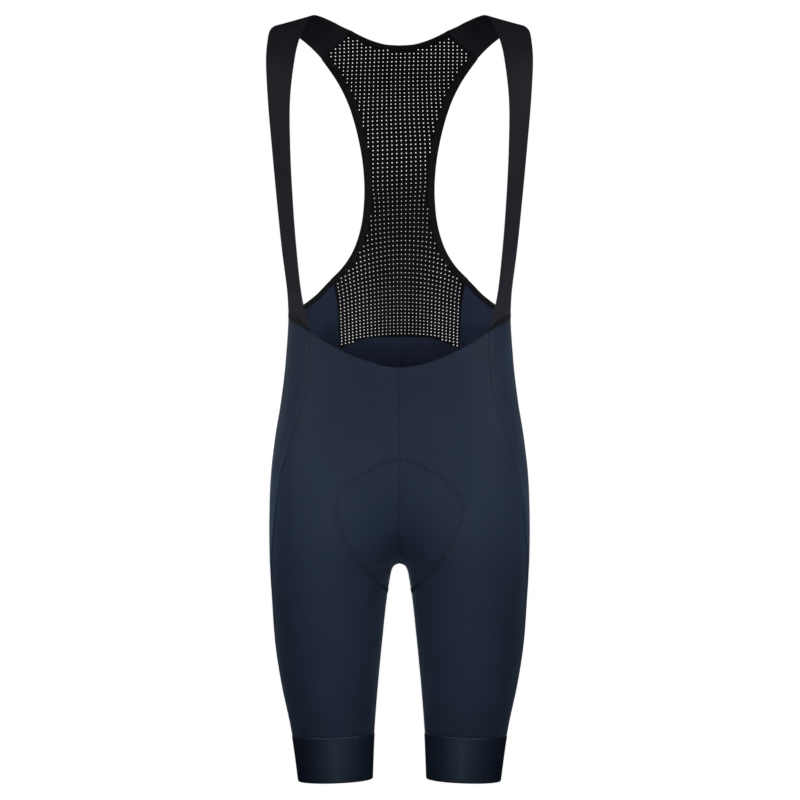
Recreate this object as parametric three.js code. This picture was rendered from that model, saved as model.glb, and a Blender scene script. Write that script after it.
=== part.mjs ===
// Cycling bib shorts, worn shape, hollow, in millimetres.
// +Z is up, the front faces -Y and the wearer's left is +X. The origin is midway between the two places
// where the straps rest on the shoulders. Levels are heights, so everything below the shoulders is negative.
// Every cloth panel is a wall between two offsets of one body surface. The surface is a stack of sections:
// each is a pair of mirrored ovals, one a side, blended into one ring above the crotch.
import * as THREE from "three";

const CROTCH = -639; // level of the lowest point between the legs
const CUFF_TOP = -839.2; // level of the seam between leg and cuff
const HEM = -893.6; // level of the hem
const FRONT_CORNER = -366; // level where front panel, side panel and strap meet
const SEAT_CORNER = -385; // level where side panel, seat panel and mesh meet
const WING_TIP = -308; // level where side panel, mesh and arm binding meet
const CLOTH = 1.4; // thickness of the navy knit and the straps
const NET = 1.0; // thickness of the perforated knit
const CUFF = 2.0; // thickness of the leg gripper
const TAPE = 2.0; // thickness of the bindings
const PAD = 7; // thickness of the seat pad at its middle
const PAD_EDGE = 1.6; // thickness of the seat pad at its edge
const PAD_GAP = 2.8; // room between the pad and the cloth, which has flatter facets than the pad
const CUFF_PROUD = 0.5; // how far the gripper stands out from the body surface
const TAPE_PROUD = 0.3; // how far the bindings stand out
const NET_SUNK = 0.1; // how far the perforated knit lies below it
const SEAM_GAP = 0.4; // room left between two pieces at a seam
const NECK_TAPE_WIDTH = 6.5;
const LEG_TILT = 0.035; // rise of the cuff per millimetre towards the inside of the leg
const TILT_START = CROTCH - 40; // level where a leg's rows begin to tilt
const TILT_WHOLE = CUFF_TOP + 30; // level from which they tilt in full

// outer: half width. middle: centre of one side's oval. inner: its inner reach before the two are blended.
// front, back: depth ahead of and behind the side line. soft: how softly the ovals blend at the centre.
// square: exponent of the oval, 2 for an ellipse and more for a squarer one.
const SECTIONS = [
  { z: -900, outer: 118.4, middle: 75.6, inner: 32.8, front: 50, back: 52, soft: 7, square: 2.1 },
  { z: -847, outer: 125.5, middle: 78.1, inner: 30.8, front: 58, back: 59, soft: 7, square: 2.1 },
  { z: -824, outer: 129.5, middle: 79.7, inner: 29.4, front: 62, back: 63, soft: 7, square: 2.1 },
  { z: -776, outer: 139.1, middle: 82.3, inner: 25.6, front: 70, back: 72, soft: 7, square: 2.1 },
  { z: -729, outer: 146.2, middle: 83.7, inner: 21.3, front: 77, back: 80, soft: 7, square: 2.15 },
  { z: -682, outer: 150.2, middle: 83.4, inner: 16.7, front: 83, back: 88, soft: 7, square: 2.2 },
  { z: -664, outer: 151.6, middle: 82.8, inner: 14.3, front: 86, back: 92, soft: 7, square: 2.2 },
  { z: -654, outer: 152.2, middle: 82.4, inner: 12.9, front: 87.6, back: 94, soft: 7, square: 2.2 },
  { z: -647, outer: 152.5, middle: 82.1, inner: 11.6, front: 88.7, back: 95.8, soft: 7, square: 2.2 },
  { z: -642.5, outer: 152.8, middle: 81.8, inner: 10.1, front: 89.4, back: 97, soft: 7, square: 2.2 },
  { z: -640.3, outer: 152.9, middle: 81.7, inner: 8.6, front: 89.8, back: 97.7, soft: 7, square: 2.2 },
  { z: -639, outer: 153, middle: 81.6, inner: 7, front: 90, back: 98, soft: 7, square: 2.2 },
  { z: -629, outer: 153.3, middle: 80.6, inner: -1, front: 91.5, back: 100, soft: 8, square: 2.2 },
  { z: -619, outer: 153.5, middle: 79.4, inner: -8, front: 93, back: 102, soft: 10, square: 2.2 },
  { z: -599, outer: 153.7, middle: 76, inner: -20, front: 95, back: 105, soft: 16, square: 2.2 },
  { z: -569, outer: 153.3, middle: 69, inner: -36, front: 97, back: 106, soft: 26, square: 2.25 },
  { z: -540, outer: 152.1, middle: 59, inner: -52, front: 98.5, back: 104, soft: 34, square: 2.3 },
  { z: -493, outer: 147.1, middle: 40, inner: -80, front: 99, back: 95, soft: 40, square: 2.35 },
  { z: -446, outer: 139.6, middle: 20, inner: -107, front: 98, back: 86, soft: 40, square: 2.4 },
  { z: -400, outer: 134.3, middle: 5, inner: -126, front: 95, back: 80, soft: 36, square: 2.45 },
  { z: -343, outer: 131, middle: 0, inner: -130, front: 91, back: 82, soft: 30, square: 2.45 },
  { z: -300, outer: 135, middle: 0, inner: -135, front: 90, back: 87, soft: 28, square: 2.4 },
  { z: -265, outer: 142, middle: 0, inner: -142, front: 92, back: 91, soft: 26, square: 2.3 },
  { z: -205, outer: 150, middle: 0, inner: -150, front: 96, back: 96, soft: 24, square: 2.2 },
  { z: -145, outer: 154, middle: 0, inner: -154, front: 97, back: 93, soft: 24, square: 2.1 },
  { z: -86, outer: 154, middle: 0, inner: -154, front: 90, back: 79, soft: 24, square: 2.1 },
  { z: -39, outer: 150, middle: 0, inner: -150, front: 60, back: 59, soft: 24, square: 2.1 },
  { z: 0, outer: 148, middle: 0, inner: -148, front: 30, back: 39, soft: 24, square: 2.1 },
];

// The side seams, by their distance along the cloth from the side line, where the garment is widest.
const FRONT_SEAM = [
  { z: -850, reach: -8 },
  { z: -776, reach: 6 },
  { z: -729, reach: 15 },
  { z: -682, reach: 24.5 },
  { z: -633, reach: 36 },
  { z: -600, reach: 46 },
  { z: -563, reach: 54.6 },
  { z: -533, reach: 61.6 },
  { z: -497, reach: 71.3 },
  { z: -472, reach: 74.5 },
  { z: -450, reach: 77.5 },
  { z: -428, reach: 78.6 },
  { z: -399, reach: 76.6 },
  { z: FRONT_CORNER, reach: 73 },
];
const BACK_SEAM = [
  { z: -850, reach: 62 },
  { z: -750, reach: 88 },
  { z: -640, reach: 104 },
  { z: -540, reach: 108 },
  { z: -450, reach: 106 },
  { z: SEAT_CORNER, reach: 103 },
  { z: -350, reach: 99.8 },
  { z: WING_TIP, reach: 99.6 },
];
// The lower edge of the arm binding from the front corner round the side to the wing tip.
const SIDE_EDGE = [
  { girth: 0.6, z: -366.5 },
  { girth: 0.72, z: -358.8 },
  { girth: 0.85, z: -353 },
  { girth: 1.0, z: -349 },
  { girth: 1.15, z: -346 },
  { girth: 1.28, z: -341 },
  { girth: 1.42, z: -328 },
  { girth: 1.554, z: WING_TIP },
];
// The width of the arm binding: part 0 to 1 round the side panel, 1 to 2 up the mesh.
const ARM_TAPE = [
  { part: 0, width: 3 },
  { part: 0.05, width: 6.5 },
  { part: 0.12, width: 8.5 },
  { part: 0.3, width: 8 },
  { part: 1, width: 7 },
  { part: 1.2, width: 8 },
  { part: 1.4, width: 9 },
  { part: 2, width: 9 },
];
// The inner edge of the arm binding up the mesh, from the wing tip to the strap.
const ARM_EDGE = [
  { x: 79.5, z: WING_TIP },
  { x: 62, z: -290 },
  { x: 48.5, z: -269 },
  { x: 38, z: -238 },
  { x: 33.8, z: -205 },
  { x: 34.3, z: -174 },
  { x: 38.3, z: -143 },
  { x: 46.8, z: -107 },
  { x: 55.8, z: -82 },
  { x: 68, z: -59 },
  { x: 86.5, z: -33.5 },
];
// The lower edge of the neck binding, from the strap to the centre.
const NECK_EDGE = [
  { x: 60, z: -11.8 },
  { x: 50, z: -16.8 },
  { x: 35, z: -22.8 },
  { x: 18, z: -27.2 },
  { x: 0, z: -28.4 },
];
// The top edge of the front panel, from the centre to the front corner.
const SCOOP_EDGE = [
  { part: 0, z: -409 },
  { part: 0.16, z: -406.7 },
  { part: 0.36, z: -400.4 },
  { part: 0.57, z: -391.4 },
  { part: 0.78, z: -380.3 },
  { part: 1, z: FRONT_CORNER },
];
// The top edge of the seat panel under the mesh, from the centre to the seat corner.
const SEAT_EDGE = [
  { part: 0, z: -370.5 },
  { part: 0.45, z: -371 },
  { part: 0.66, z: -374 },
  { part: 0.83, z: -379.5 },
  { part: 1, z: SEAT_CORNER },
];
// One strap: its two edges, from above its foot on the front, over the shoulder, to near the mesh.
const STRAP = [
  { inner: [112.2, -69, -329.8], outer: [130.6, -35, -319] },
  { inner: [118.8, -80, -272.2], outer: [136.6, -47, -270] },
  { inner: [122.9, -91, -214.8], outer: [142.2, -58, -213] },
  { inner: [125.6, -96, -157.4], outer: [147.5, -66, -155] },
  { inner: [126.1, -91, -99.2], outer: [152.6, -66, -97] },
  { inner: [121.5, -74, -51.4], outer: [155.4, -54, -49.6] },
  { inner: [118.0, -56, -31], outer: [154.6, -38, -28] },
  { inner: [111.5, -34, -10], outer: [152, -21, -12.5] },
  { inner: [102.5, -7, 5.9], outer: [144.5, -3, -5.6] },
  { inner: [92.5, 14, 7.1], outer: [134, 11, -9.2] },
  { inner: [78, 28, 2.2], outer: [116, 28, -18.8] },
  { inner: [70, 37, -1.1], outer: [104, 38, -28.2] },
];
// Half the width of the pad, along the cloth from its centre line, by the angle round the crotch:
// 0 points down, negative angles lie in front and positive ones behind.
const PAD_OUTLINE = [
  { angle: -115, half: 6 },
  { angle: -108, half: 34 },
  { angle: -98, half: 62 },
  { angle: -86, half: 76 },
  { angle: -70, half: 70 },
  { angle: -50, half: 55 },
  { angle: -25, half: 40 },
  { angle: 0, half: 37 },
  { angle: 30, half: 47 },
  { angle: 60, half: 72 },
  { angle: 85, half: 84 },
  { angle: 100, half: 70 },
  { angle: 112, half: 30 },
];
const PAD_CENTRE = { y: 3, z: -560 }; // the line that the pad's angles turn about

const LEG_ROWS = 9;
const LEG_CLOSING = 2.2; // how strongly the leg's rows close up towards the crotch
const BODY_ROWS = 17;
const BODY_OPENING = 1.25; // how strongly the body's rows open from it
const FRONT_COLUMNS = 11;
const SIDE_COLUMNS = 10;
const SEAT_COLUMNS = 9;
const COLUMN_CLOSING = 1.3; // how strongly columns close up towards the centre line
const CENTRE_SHARPNESS = 1.75; // how soon a row leaves the level that it has at the centre line
const FOLLOW_START = CROTCH + 60; // level above which rows begin to follow their panel's top edge
const ARCH_DIP = 9; // dip of the rows over the arch between the legs
const ARCH_REACH = 50; // height over which the dip fades
const ARCH_DEEPEST = 0.2; // part of the panel's width where the rows dip most
const ARCH_END = 0.85; // part of the panel's width where they no longer dip
const CENTRE_TOP = -340; // end of the measured centre lines
const CENTRE_SAMPLES = 300;
const CENTRE_CLOSING = 2.5; // how strongly the samples close up towards the crotch
const CUFF_COLUMNS = 36;
const NET_WING_ROWS = 5;
const NET_ARM_ROWS = 17;
const NET_SEAM_COLUMNS = 3;
const STRAP_ROWS = 36;
const STRAP_COLUMNS = 3;
const FOOT_BLEND = 0.1; // share of the strap over which it turns to the line of its foot
const END_BLEND = 0.16; // and to the line of its end
const STRAP_GAP = 0.6; // room between a strap's end and what it is sewn to
const PAD_ROWS = 22;
const PAD_COLUMNS = 14;
const PAD_RIM = 1 / 6; // share of the pad's length over which it thins to its front and back edges
const PAD_SIDE = 1 / 2.2; // share of its half width over which it thins to its sides
const PAD_STEP = 0.5; // step along the cloth when the pad's width is measured
const PAD_NEAREST = 20; // the body surface lies between these distances from the pad's centre
const PAD_FARTHEST = 260;
const GIRTH_SAMPLES = 160;
const SLOPE_STEP = 0.4; // step over which the surface's slope is measured
const SETTLE_STEP = 0.5;
const SETTLE_ROUNDS = 8;
const HALVINGS = 40;
const TOP_ROUNDS = 40;
const TOP_SHARE = 0.6; // share of the way that each round moves a level

const NAVY = new THREE.MeshStandardMaterial({ color: 0x222a3a, roughness: 0.62, metalness: 0 });
const NAVY_CUFF = new THREE.MeshStandardMaterial({ color: 0x1b2230, roughness: 0.5, metalness: 0 });
const BLACK_STRAP = new THREE.MeshStandardMaterial({ color: 0x1d1d20, roughness: 0.6, metalness: 0 });
const BLACK_NET = new THREE.MeshStandardMaterial({ color: 0x0f0f12, roughness: 0.75, metalness: 0 });
const BLACK_TAPE = new THREE.MeshStandardMaterial({ color: 0x141416, roughness: 0.55, metalness: 0 });
const PAD_FOAM = new THREE.MeshStandardMaterial({ color: 0x24262b, roughness: 0.85, metalness: 0 });

const { lerp, clamp, degToRad, smoothstep } = THREE.MathUtils;

// A smooth curve through one column of a table that doesn't overshoot between its rows.
function curve(rows, key, by) {
  const sorted = [...rows].sort((a, b) => a[by] - b[by]);
  const at = sorted.map((row) => row[by]);
  const value = sorted.map((row) => row[key]);
  const slope = at.slice(1).map((_, k) => (value[k + 1] - value[k]) / (at[k + 1] - at[k]));
  const tangent = at.map((_, k) => {
    const before = slope[k - 1] ?? slope[k];
    const after = slope[k] ?? slope[k - 1];
    return before * after > 0 ? (2 * before * after) / (before + after) : 0;
  });
  return (where) => {
    const w = clamp(where, at[0], at[at.length - 1]);
    const k = Math.min(Math.max(at.findIndex((a) => a >= w) - 1, 0), at.length - 2);
    const span = at[k + 1] - at[k];
    const t = (w - at[k]) / span;
    const rise = (3 - 2 * t) * t * t;
    return (
      value[k] * (1 - rise) +
      value[k + 1] * rise +
      span * t * (1 - t) * (tangent[k] * (1 - t) - tangent[k + 1] * t)
    );
  };
}

const body = Object.fromEntries(
  ["outer", "middle", "inner", "front", "back", "soft", "square"].map((key) => [
    key,
    curve(SECTIONS, key, "z"),
  ])
);
const frontReach = curve(FRONT_SEAM, "reach", "z");
const backReach = curve(BACK_SEAM, "reach", "z");
const sideEdge = curve(SIDE_EDGE, "z", "girth");
const seatEdge = curve(SEAT_EDGE, "z", "part");
const scoopEdge = curve(SCOOP_EDGE, "z", "part");
const armTapeWidth = curve(ARM_TAPE, "width", "part");

// The body surface

function sectionAt(z) {
  const soft = body.soft(z);
  const middle = body.middle(z);
  return {
    soft,
    middle,
    outward: Math.hypot(body.outer(z), soft) - middle,
    inward: middle - body.inner(z),
    front: body.front(z),
    back: body.back(z),
    square: body.square(z),
  };
}

// Below 0 inside the garment, above 0 outside it.
function outside(x, y, z) {
  const s = sectionAt(z);
  const from = Math.hypot(x, s.soft) - s.middle;
  const across = Math.abs(from / (from > 0 ? s.outward : s.inward));
  const along = Math.abs(y / (y < 0 ? s.front : s.back));
  return across ** s.square + along ** s.square - 1;
}

function normalAt(x, y, z) {
  const h = SLOPE_STEP;
  return new THREE.Vector3(
    outside(x + h, y, z) - outside(x - h, y, z),
    outside(x, y + h, z) - outside(x, y - h, z),
    outside(x, y, z + h) - outside(x, y, z - h)
  ).normalize();
}

// The point of a section at step 0, the centre or inseam, to 1, the side line, on the front or the back.
function sectionPoint(s, step, isFront) {
  const end = clamp((s.soft - s.middle) / (s.soft > s.middle ? s.outward : s.inward), -1, 1);
  const last = Math.acos(Math.sign(end) * Math.abs(end) ** (s.square / 2));
  const angle = last * (1 - step * step);
  const power = 2 / s.square;
  const cos = Math.cos(angle);
  const across = s.middle + (cos > 0 ? s.outward : -s.inward) * Math.abs(cos) ** power;
  const depth = Math.abs(Math.sin(angle)) ** power * (isFront ? -s.front : s.back);
  return [Math.sqrt(Math.max(across * across - s.soft * s.soft, 0)), depth];
}

const walks = new Map();

// Steps against length along one half section, so that points can be spaced evenly round it.
function walk(z, isFront) {
  const key = (isFront ? "f" : "b") + z.toFixed(4);
  if (walks.has(key)) return walks.get(key);
  const section = sectionAt(z);
  const lengths = [0];
  let last = sectionPoint(section, 0, isFront);
  for (let k = 1; k <= GIRTH_SAMPLES; k++) {
    const next = sectionPoint(section, k / GIRTH_SAMPLES, isFront);
    lengths.push(lengths[k - 1] + Math.hypot(next[0] - last[0], next[1] - last[1]));
    last = next;
  }
  const made = { section, lengths, total: lengths[GIRTH_SAMPLES] };
  walks.set(key, made);
  return made;
}

const halfGirth = (z, isFront) => walk(z, isFront).total;

// Girth runs round one side: 0 at the centre front or inseam, 1 at the side line, 2 at the centre back.
function girthAt(reach, z, isFront) {
  const ahead = isFront ? reach : -reach;
  return 1 - ahead / halfGirth(z, ahead > 0);
}

const frontSeam = (z) => girthAt(frontReach(z), z, true);
const backSeam = (z) => girthAt(backReach(z), z, false);

// The point and outward normal at a girth and level. Girths past 2 lie on the mirrored side.
function onBody(girth, z) {
  if (girth > 2) {
    const twin = onBody(4 - girth, z);
    twin.point.x *= -1;
    twin.normal.x *= -1;
    return twin;
  }
  const isFront = girth <= 1;
  const w = walk(z, isFront);
  const target = w.total * (isFront ? Math.max(girth, 0) : 2 - girth);
  let k = 1;
  while (k < GIRTH_SAMPLES && w.lengths[k] < target) k++;
  const step = (k - 1 + (target - w.lengths[k - 1]) / (w.lengths[k] - w.lengths[k - 1])) / GIRTH_SAMPLES;
  const [x, y] = sectionPoint(w.section, Math.min(step, 1), isFront);
  const tilt = LEG_TILT * smoothstep(-z, -TILT_START, -TILT_WHOLE);
  const centre = (body.outer(z) + body.inner(z)) / 2;
  return {
    point: new THREE.Vector3(x, y, z + tilt * (centre - x)),
    normal: normalAt(x, y, z),
  };
}

// The girth of the point on the back at a distance from the centre line.
function backGirth(x, z) {
  let low = 1;
  let high = 2;
  for (let k = 0; k < HALVINGS; k++) {
    const middle = (low + high) / 2;
    if (onBody(middle, z).point.x > x) low = middle;
    else high = middle;
  }
  return (low + high) / 2;
}

// Walls

// A closed wall over a grid of points with normals, between two offsets along the normals.
// A ring closes on itself. A half keeps half a seam gap clear of the middle of the garment.
function wall(grid, outerOffset, innerOffset, { isRing = false, isHalf = false } = {}) {
  const rows = grid.length;
  const columns = grid[0].length;
  const offsets = (row, column) => {
    const inset = typeof innerOffset === "function" ? innerOffset(row, column) : innerOffset;
    return [outerOffset, inset];
  };
  const positions = [];
  for (const layer of [0, 1])
    for (let j = 0; j < rows; j++)
      for (let i = 0; i < columns; i++) {
        const { point, normal } = grid[j][i];
        const at = point.clone().addScaledVector(normal, offsets(j, i)[layer]);
        if (isHalf) at.x = Math.sign(point.x) * Math.max(Math.abs(at.x), SEAM_GAP / 2);
        positions.push(...at.toArray());
      }
  const at = (layer, j, i) => layer * rows * columns + j * columns + (i % columns);
  const index = [];
  const quad = (a, b, c, d) => index.push(a, b, c, a, c, d);
  const spans = isRing ? columns : columns - 1;
  for (let j = 0; j + 1 < rows; j++)
    for (let i = 0; i < spans; i++) {
      quad(at(0, j, i), at(0, j, i + 1), at(0, j + 1, i + 1), at(0, j + 1, i));
      quad(at(1, j, i), at(1, j + 1, i), at(1, j + 1, i + 1), at(1, j, i + 1));
    }
  for (let i = 0; i < spans; i++) {
    quad(at(0, 0, i), at(1, 0, i), at(1, 0, i + 1), at(0, 0, i + 1));
    quad(at(0, rows - 1, i), at(0, rows - 1, i + 1), at(1, rows - 1, i + 1), at(1, rows - 1, i));
  }
  for (let j = 0; j + 1 < rows && !isRing; j++) {
    quad(at(0, j, 0), at(0, j + 1, 0), at(1, j + 1, 0), at(1, j, 0));
    const end = columns - 1;
    quad(at(0, j, end), at(1, j, end), at(1, j + 1, end), at(0, j + 1, end));
  }
  return closedGeometry(positions, index);
}

// A geometry with its faces turned outward.
function closedGeometry(positions, index) {
  let volume = 0;
  const corner = (k) => new THREE.Vector3().fromArray(positions, 3 * index[k]);
  for (let k = 0; k < index.length; k += 3)
    volume += corner(k).dot(corner(k + 1).cross(corner(k + 2)));
  if (volume < 0)
    for (let k = 0; k < index.length; k += 3) [index[k + 1], index[k + 2]] = [index[k + 2], index[k + 1]];
  const geometry = new THREE.BufferGeometry();
  geometry.setAttribute("position", new THREE.Float32BufferAttribute(positions, 3));
  geometry.setIndex(index);
  geometry.computeVertexNormals();
  return geometry;
}

const mirrored = (grid) =>
  grid.map((row) =>
    row.map(({ point, normal }) => ({
      point: new THREE.Vector3(-point.x, point.y, point.z),
      normal: new THREE.Vector3(-normal.x, normal.y, normal.z),
    }))
  );

const fractions = (count) => Array.from({ length: count + 1 }, (_, k) => k / count);

// Rows of the panels

// Levels at the side seams: leg rows close up towards the crotch, body rows open from it.
const legLevels = fractions(LEG_ROWS).map((f) =>
  lerp(CUFF_TOP + SEAM_GAP / 2, CROTCH, 1 - (1 - f) ** LEG_CLOSING)
);
const bodyLevels = (top) => fractions(BODY_ROWS).slice(1).map((f) => lerp(CROTCH, top, f ** BODY_OPENING));
const levels = (top) => [...legLevels, ...bodyLevels(top)];

// The centre line of the front or back above the crotch: its length from the crotch, at each level.
function centreLine(isFront) {
  const samples = [{ z: CROTCH, length: 0 }];
  let last = onBody(isFront ? 0 : 2, CROTCH).point;
  for (let k = 1; k <= CENTRE_SAMPLES; k++) {
    const z = lerp(CROTCH, CENTRE_TOP, (k / CENTRE_SAMPLES) ** CENTRE_CLOSING);
    const next = onBody(isFront ? 0 : 2, z).point;
    samples.push({ z, length: samples[k - 1].length + Math.hypot(next.y - last.y, next.z - last.z) });
    last = next;
  }
  return samples;
}

const centreLines = [centreLine(false), centreLine(true)];

// Reads one column of the centre line from another.
function onCentre(value, by, wanted, isFront) {
  const line = centreLines[isFront ? 1 : 0];
  const k = clamp(line.findIndex((sample) => sample[by] >= value), 1, CENTRE_SAMPLES);
  const share = (value - line[k - 1][by]) / (line[k][by] - line[k - 1][by]);
  return lerp(line[k - 1][wanted], line[k][wanted], share);
}

// A row's level at the centre. Above the crotch the rows sag there, and so fan out round the crotch:
// the centre line and the side seam are divided in the same proportion, up to the panel's top.
function rowAtCentre(level, top, topAtCentre, isFront) {
  if (level <= CROTCH) return level;
  const whole = onCentre(topAtCentre, "z", "length", isFront);
  return onCentre((whole * (level - CROTCH)) / (top - CROTCH), "length", "z", isFront);
}

// Near the crotch a row dips a little just beside the centre, over the arch between the legs.
function dip(level, part) {
  const near = smoothstep(part, 0, ARCH_DEEPEST) * (1 - smoothstep(part, ARCH_DEEPEST, ARCH_END));
  return ARCH_DIP * Math.exp(-(((level - CROTCH) / ARCH_REACH) ** 2)) * near;
}

// Weight of the centre's level across a panel, 1 at the centre line and 0 at the side seam.
const centreWeight = (part) => 1 - (Math.sin(part) / Math.sin(1)) ** CENTRE_SHARPNESS;

// Columns close up towards the centre line, where the cloth bends most.
const centreColumns = (count) => fractions(count).map((f) => f ** COLUMN_CLOSING);

// The grid of a panel that runs from the centre line or inseam to a seam, with its top edge at topAt.
function centreGrid(isFront, seam, top, topAt) {
  const halfGap = SEAM_GAP / 2;
  return levels(top).map((level) => {
    const middle = rowAtCentre(level, top, topAt(0), isFront);
    const reach = halfGirth(middle, isFront);
    return centreColumns(isFront ? FRONT_COLUMNS : SEAT_COLUMNS).map((part) => {
      const weight = centreWeight(part);
      const flat = lerp(level, middle, weight);
      const follow = smoothstep(level, FOLLOW_START, top);
      const topFlat = lerp(top, topAt(0), weight);
      const z = flat + follow * (topAt(part) - topFlat) - dip(level, part);
      const whole = halfGirth(z, isFront);
      const toSeam = Math.abs(seam(z) - (isFront ? 0 : 2)) * whole - halfGap;
      const past = Math.max(whole - reach, 0) * (1 - follow);
      const fromCentre = lerp(past + halfGap, toSeam, part);
      return onBody(isFront ? fromCentre / whole : 2 - fromCentre / whole, z);
    });
  });
}

const frontGrid = () =>
  centreGrid(true, frontSeam, FRONT_CORNER, (part) => scoopEdge(part));

const seatGrid = () =>
  centreGrid(false, backSeam, SEAT_CORNER, (part) => seatEdge(part) - SEAM_GAP / 2);

// The level where a column of the side panel meets the binding.
function sideTop(part) {
  let z = FRONT_CORNER;
  for (let k = 0; k < TOP_ROUNDS; k++)
    z = lerp(z, sideEdge(lerp(frontSeam(z), backSeam(z), part)), TOP_SHARE);
  return z;
}

function sideGrid() {
  const tops = fractions(SIDE_COLUMNS).map(sideTop);
  const halfGap = SEAM_GAP / 2;
  return levels(FRONT_CORNER).map((level) =>
    fractions(SIDE_COLUMNS).map((part, k) => {
      const follow = smoothstep(level, FOLLOW_START, FRONT_CORNER);
      const z = level + follow * (tops[k] - 1.5 * SEAM_GAP - FRONT_CORNER);
      const from = frontSeam(z) + halfGap / halfGirth(z, true);
      const to = backSeam(z) - (2 * halfGap) / halfGirth(z, false);
      return onBody(lerp(from, to, part), z);
    })
  );
}

function cuffGrid() {
  const top = CUFF_TOP - 0.75 * SEAM_GAP;
  return [HEM, lerp(HEM, top, 0.5), top].map((z) =>
    fractions(CUFF_COLUMNS).slice(0, -1).map((part) => onBody(2 * part, z))
  );
}

// The mesh and the bindings

// A point on the back by distance from the centre line, signed, and level.
function onBack(x, z) {
  const found = onBody(backGirth(Math.abs(x), z), z);
  if (x < 0) {
    found.point.x *= -1;
    found.normal.x *= -1;
  }
  return found;
}

// Even steps along a smooth line through rows of x and z.
function evenly(rows, count) {
  const points = rows.map(({ x, z }) => new THREE.Vector3(x, 0, z));
  const line = new THREE.CatmullRomCurve3(points, false, "centripetal");
  return line.getSpacedPoints(count).map(({ x, z }) => ({ x, z }));
}

const armLine = evenly(ARM_EDGE, NET_ARM_ROWS);
const neckColumns = SEAT_COLUMNS - NET_SEAM_COLUMNS;
const neckLine = evenly(NECK_EDGE, neckColumns);

// Moves each point of an open line sideways, to the left of its direction, in the plane of x and z.
function shifted(line, distance) {
  return line.map((here, k) => {
    const before = line[Math.max(k - 1, 0)];
    const after = line[Math.min(k + 1, line.length - 1)];
    const dx = after.x - before.x;
    const dz = after.z - before.z;
    const length = Math.hypot(dx, dz);
    return { x: here.x - (dz / length) * distance, z: here.z + (dx / length) * distance };
  });
}

// One half of the mesh's border, from the centre of its foot round to the centre of its neck edge.
function netBorder() {
  const gap = SEAM_GAP / 2;
  const foot = centreColumns(SEAT_COLUMNS).map((part) => {
    const z = seatEdge(part) + gap;
    const whole = halfGirth(z, false);
    const toSeam = (2 - backSeam(z)) * whole - gap;
    return { x: onBody(2 - lerp(gap, toSeam, part) / whole, z).point.x, z };
  });
  const wing = fractions(NET_WING_ROWS).map((part) => {
    const z = lerp(SEAT_CORNER + gap, WING_TIP, part);
    return { x: onBody(backSeam(z) + SEAM_GAP / halfGirth(z, false), z).point.x, z };
  });
  const arm = shifted(armLine, SEAM_GAP);
  arm[0] = wing[NET_WING_ROWS];
  const neck = shifted(neckLine, SEAM_GAP);
  const low = arm[NET_ARM_ROWS];
  const high = neck[0];
  const seam = fractions(NET_SEAM_COLUMNS).map((part) => ({
    x: lerp(low.x, high.x, part),
    z: lerp(low.z, high.z, part),
  }));
  neck[neckColumns].x = 0;
  foot[0].x = 0;
  foot[SEAT_COLUMNS] = wing[0];
  return { foot, side: [...wing.slice(0, -1), ...arm], top: [...seam.slice(0, -1), ...neck] };
}

// The mesh fills its border: each point blends the four sides.
function netGrid() {
  const { foot, side, top } = netBorder();
  const rows = side.length - 1;
  const half = SEAT_COLUMNS;
  const low = (i) => ({ x: Math.sign(i) * foot[Math.abs(i)].x, z: foot[Math.abs(i)].z });
  const high = (i) => ({ x: Math.sign(i) * top[half - Math.abs(i)].x, z: top[half - Math.abs(i)].z });
  return side.map((edge, j) => {
    const up = j / rows;
    return Array.from({ length: 2 * half + 1 }, (_, k) => {
      const i = k - half;
      const across = i / half;
      const blend = (key, sign) =>
        lerp(low(i)[key], high(i)[key], up) +
        sign * (edge[key] - lerp(low(half)[key], high(half)[key], up));
      return onBack(blend("x", across), blend("z", 1));
    });
  });
}

// A band on the body surface from a line of points, widening to one side by a width at each point.
function bandGrid(line, widthAt, columns) {
  return line.map((here, k) => {
    const before = line[Math.max(k - 1, 0)].point;
    const after = line[Math.min(k + 1, line.length - 1)].point;
    const along = after.clone().sub(before).normalize();
    const sideways = here.normal.clone().cross(along).normalize();
    return fractions(columns).map((part) => {
      const point = here.point.clone().addScaledVector(sideways, widthAt(k) * part);
      return settle(point);
    });
  });
}

// Brings a point near the body surface onto it, along the surface's normal.
function settle(start) {
  const point = start.clone();
  let normal = normalAt(point.x, point.y, point.z);
  const h = SETTLE_STEP;
  for (let k = 0; k < SETTLE_ROUNDS; k++) {
    const here = outside(point.x, point.y, point.z);
    const next = point.clone().addScaledVector(normal, h);
    point.addScaledVector(normal, (-here * h) / (outside(next.x, next.y, next.z) - here));
    normal = normalAt(point.x, point.y, point.z);
  }
  return { point, normal };
}

// The arm binding runs from the front corner along the side panel's top edge, then up the mesh to the strap.
function armTapeGrid() {
  const round = fractions(SIDE_COLUMNS).map((part) => {
    const z = sideTop(part);
    const gap = SEAM_GAP / halfGirth(z, true);
    return { part, ...onBody(lerp(frontSeam(z) + gap, backSeam(z), part), z) };
  });
  const up = armLine.map(({ x, z }, k) => ({ part: 1 + k / NET_ARM_ROWS, ...onBack(x, z) })).slice(1);
  const line = [...round, ...up];
  return bandGrid(line, (k) => armTapeWidth(line[k].part), 1);
}

function neckTapeGrid() {
  const half = neckLine.map(({ x, z }) => onBack(x, z));
  const other = mirrored([half.slice(0, -1)])[0].reverse();
  return bandGrid([...half, ...other], () => NECK_TAPE_WIDTH, 1);
}

// The straps

// The four points of a strap's foot, on the upper edge of the arm binding.
function strapFoot() {
  return armTapeGrid()
    .slice(0, STRAP_COLUMNS + 1)
    .map(([low, high]) => high.point.clone().add(high.point.clone().sub(low.point).setLength(STRAP_GAP)));
}

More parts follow.
